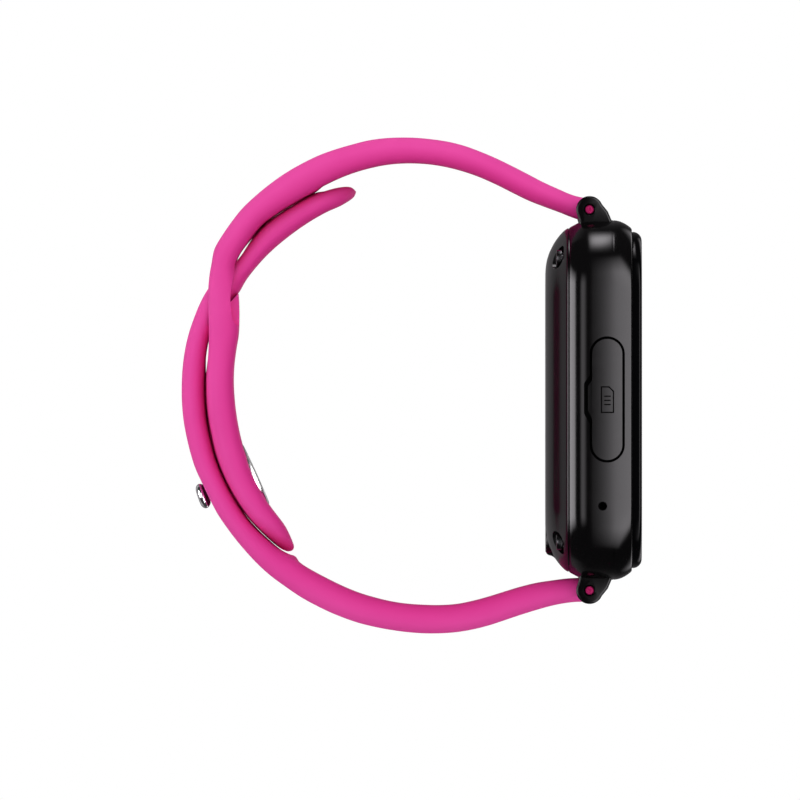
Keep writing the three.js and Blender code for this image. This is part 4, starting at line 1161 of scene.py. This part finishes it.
# ------------------------------------------------------------------ CAD nodes that stay: materials by kind
KEEP = {
    "display_panel": "display", "display_bracket": "steel", "shield_can": "steel", "vibration_motor": "steel", "sim_socket": "steel",
    "spring_bar_top": "steel", "spring_bar_bottom": "steel", "spring_coil_top": "steel", "spring_coil_bottom": "steel",
    "microphone": "mark", "antenna_strip": "gold", "back_gasket": "seal_rubber", "display_adhesive": "seal_rubber",
    "optical_barrier": "seal_rubber", "main_board": "board", "sensor_board": "board", "battery": "module", "speaker": "module",
    "button_switch": "module", "sim_seal": "seal_rubber", "sim_tray": "case_satin", "nano_sim": "gold", "button_stem": "steel",
}
for name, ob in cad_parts.items():
    look = KEEP.get(name)
    if look is None:
        continue
    ob.data.materials.clear()
    ob.data.materials.append(MATS[look])

# ------------------------------------------------------------------ camera, light, floor
scene = bpy.context.scene
cam_data = bpy.data.cameras.new("camera")
cam_data.lens = 1500
cam_data.sensor_width = 36
cam_data.clip_start = 0.5
cam_data.clip_end = 20
cam = bpy.data.objects.new("camera", cam_data)
scene.collection.objects.link(cam)
cam.location = (0.00107, -4.4667, 0)
cam.rotation_euler = (math.radians(90), 0, 0)
scene.camera = cam
scene.view_settings.view_transform = "Standard"

world = bpy.data.worlds.new("studio")
scene.world = world
world.use_nodes = True
wt = world.node_tree
for n in list(wt.nodes):
    wt.nodes.remove(n)
w_out = node(wt, "ShaderNodeOutputWorld")
lp = node(wt, "ShaderNodeLightPath")
tc = node(wt, "ShaderNodeTexCoord")
sep = node(wt, "ShaderNodeSeparateXYZ")
wt.links.new(tc.outputs["Generated"], sep.inputs[0])


def wmath(op, a, b=None):
    n = node(wt, "ShaderNodeMath", operation=op)
    for k, v in enumerate((a, b)):
        if v is None:
            continue
        if isinstance(v, (int, float)):
            n.inputs[k].default_value = v
        else:
            wt.links.new(v, n.inputs[k])
    return n.outputs[0]


neg_y = wmath("MULTIPLY", sep.outputs["Y"], -1.0)
phi = wmath("ARCTAN2", sep.outputs["X"], neg_y)


def window(sock, stops, scale=1.0):
    """Piecewise brightness over an angle in degrees."""
    v01 = wmath("ADD", wmath("DIVIDE", sock, 360.0), 0.5)
    return ramp(wt, v01, [(a / 360 + 0.5, (v, v, v)) for a, v in stops])


phi_deg = wmath("MULTIPLY", phi, 180 / math.pi)
elev = wmath("MULTIPLY", wmath("ARCSINE", sep.outputs["Z"]), 180 / math.pi)


def box_light(az_stops, el_stops, power):
    return wmath("MULTIPLY", wmath("MULTIPLY", window(phi_deg, az_stops), window(elev, el_stops)), power)


# soft boxes as the gloss sees them: angle from the camera's side towards the display, then height
def comp_light(x_stops, y_stops, power):
    """A light overhead, limited by the direction's x and y components (given as -1 to 1)."""
    def win(sock, stops):
        return ramp(wt, wmath("ADD", wmath("MULTIPLY", sock, 0.5), 0.5), [(v * 0.5 + 0.5, (c, c, c)) for v, c in stops])
    up = wmath("GREATER_THAN", sep.outputs["Z"], 0.0)
    return wmath("MULTIPLY", wmath("MULTIPLY", wmath("MULTIPLY", win(sep.outputs["X"], x_stops), win(sep.outputs["Y"], y_stops)), up), power)


lights = [
    box_light([(-2, 0), (1, 0.04), (4.8, 0.11), (8.6, 0.23), (12.4, 0.42), (16.4, 0.78), (20, 0.84), (28, 1), (36, 1), (42, 0.4), (48, 0)],
              [(-66, 0), (-30, 1), (30, 1), (58, 0)], 11.4),
    box_light([(-100, 0), (-94, 1), (-71, 1), (-62, 0)], [(-24, 0), (-9, 1), (9, 1), (24, 0)], 15.0),
    box_light([(-45, 0), (-36, 1), (-28, 1), (-15, 0)], [(-28, 0), (-12, 1), (12, 1), (28, 0)], 4.6),
    comp_light([(-0.12, 0), (-0.04, 0.45), (0.0, 0.8), (0.035, 1), (0.06, 0.95), (0.09, 0.55), (0.12, 0.2), (0.16, 0)],
               [(-0.42, 0), (-0.3, 0.14), (-0.2, 0.5), (-0.1, 0.86), (0, 1), (0.1, 0.86), (0.2, 0.5), (0.3, 0.14), (0.42, 0)], 17.0),
    box_light([(118, 0), (128, 1), (150, 1), (160, 0)], [(-50, 0), (-30, 1), (30, 1), (50, 0)], 1.6),
    box_light([(-180, 0.12), (-160, 0.16), (-140, 0.36), (-124, 0.46), (-118, 0), (160, 0), (180, 0.12)], [(-70, 0), (-40, 1), (40, 1), (70, 0)], 1.0),
]
total = lights[0]
for extra in lights[1:]:
    total = wmath("ADD", total, extra)
glossy_val = wmath("ADD", total, 0.05)
bg_gloss = node(wt, "ShaderNodeBackground")
bg_gloss.inputs["Color"].default_value = (1, 0.96, 1, 1)
wt.links.new(glossy_val, bg_gloss.inputs["Strength"])
# even studio fill, stronger from the camera's side and from above
fill = wmath("ADD", wmath("MULTIPLY", sep.outputs["Y"], -0.36), wmath("MULTIPLY", sep.outputs["Z"], 0.10))
fill = wmath("ADD", fill, wmath("MULTIPLY", sep.outputs["X"], -0.06))
fill = wmath("ADD", fill, 0.98)
bg_diff = node(wt, "ShaderNodeBackground")
wt.links.new(fill, bg_diff.inputs["Strength"])
bg_cam = node(wt, "ShaderNodeBackground")
bg_cam.inputs["Color"].default_value = (1, 1, 1, 1)
bg_cam.inputs["Strength"].default_value = 1.0
mix1 = node(wt, "ShaderNodeMixShader")
wt.links.new(lp.outputs["Is Glossy Ray"], mix1.inputs[0])
wt.links.new(bg_diff.outputs[0], mix1.inputs[1])
wt.links.new(bg_gloss.outputs[0], mix1.inputs[2])
mix2 = node(wt, "ShaderNodeMixShader")
wt.links.new(lp.outputs["Is Camera Ray"], mix2.inputs[0])
wt.links.new(mix1.outputs[0], mix2.inputs[1])
wt.links.new(bg_cam.outputs[0], mix2.inputs[2])
wt.links.new(mix2.outputs[0], w_out.inputs["Surface"])

floor_v = [(0.30 * math.cos(2 * math.pi * k / 96), 0.30 * math.sin(2 * math.pi * k / 96), -0.075) for k in range(96)]
floor = make_object("floor", floor_v, [tuple(range(96))], smooth=False)
fm, fnt, fb = new_mat("floor_pale")
nt_noise = noise(fnt, 30, 2)
fnt.links.new(ramp(fnt, nt_noise, [(0.3, (0.78, 0.78, 0.78)), (0.7, (0.82, 0.82, 0.82))]), fb.inputs["Base Color"])
fb.inputs["Roughness"].default_value = 0.8
floor.visible_glossy = False   # it lights the underside softly but leaves the mirror-like surfaces clean
floor.data.materials.append(fm)
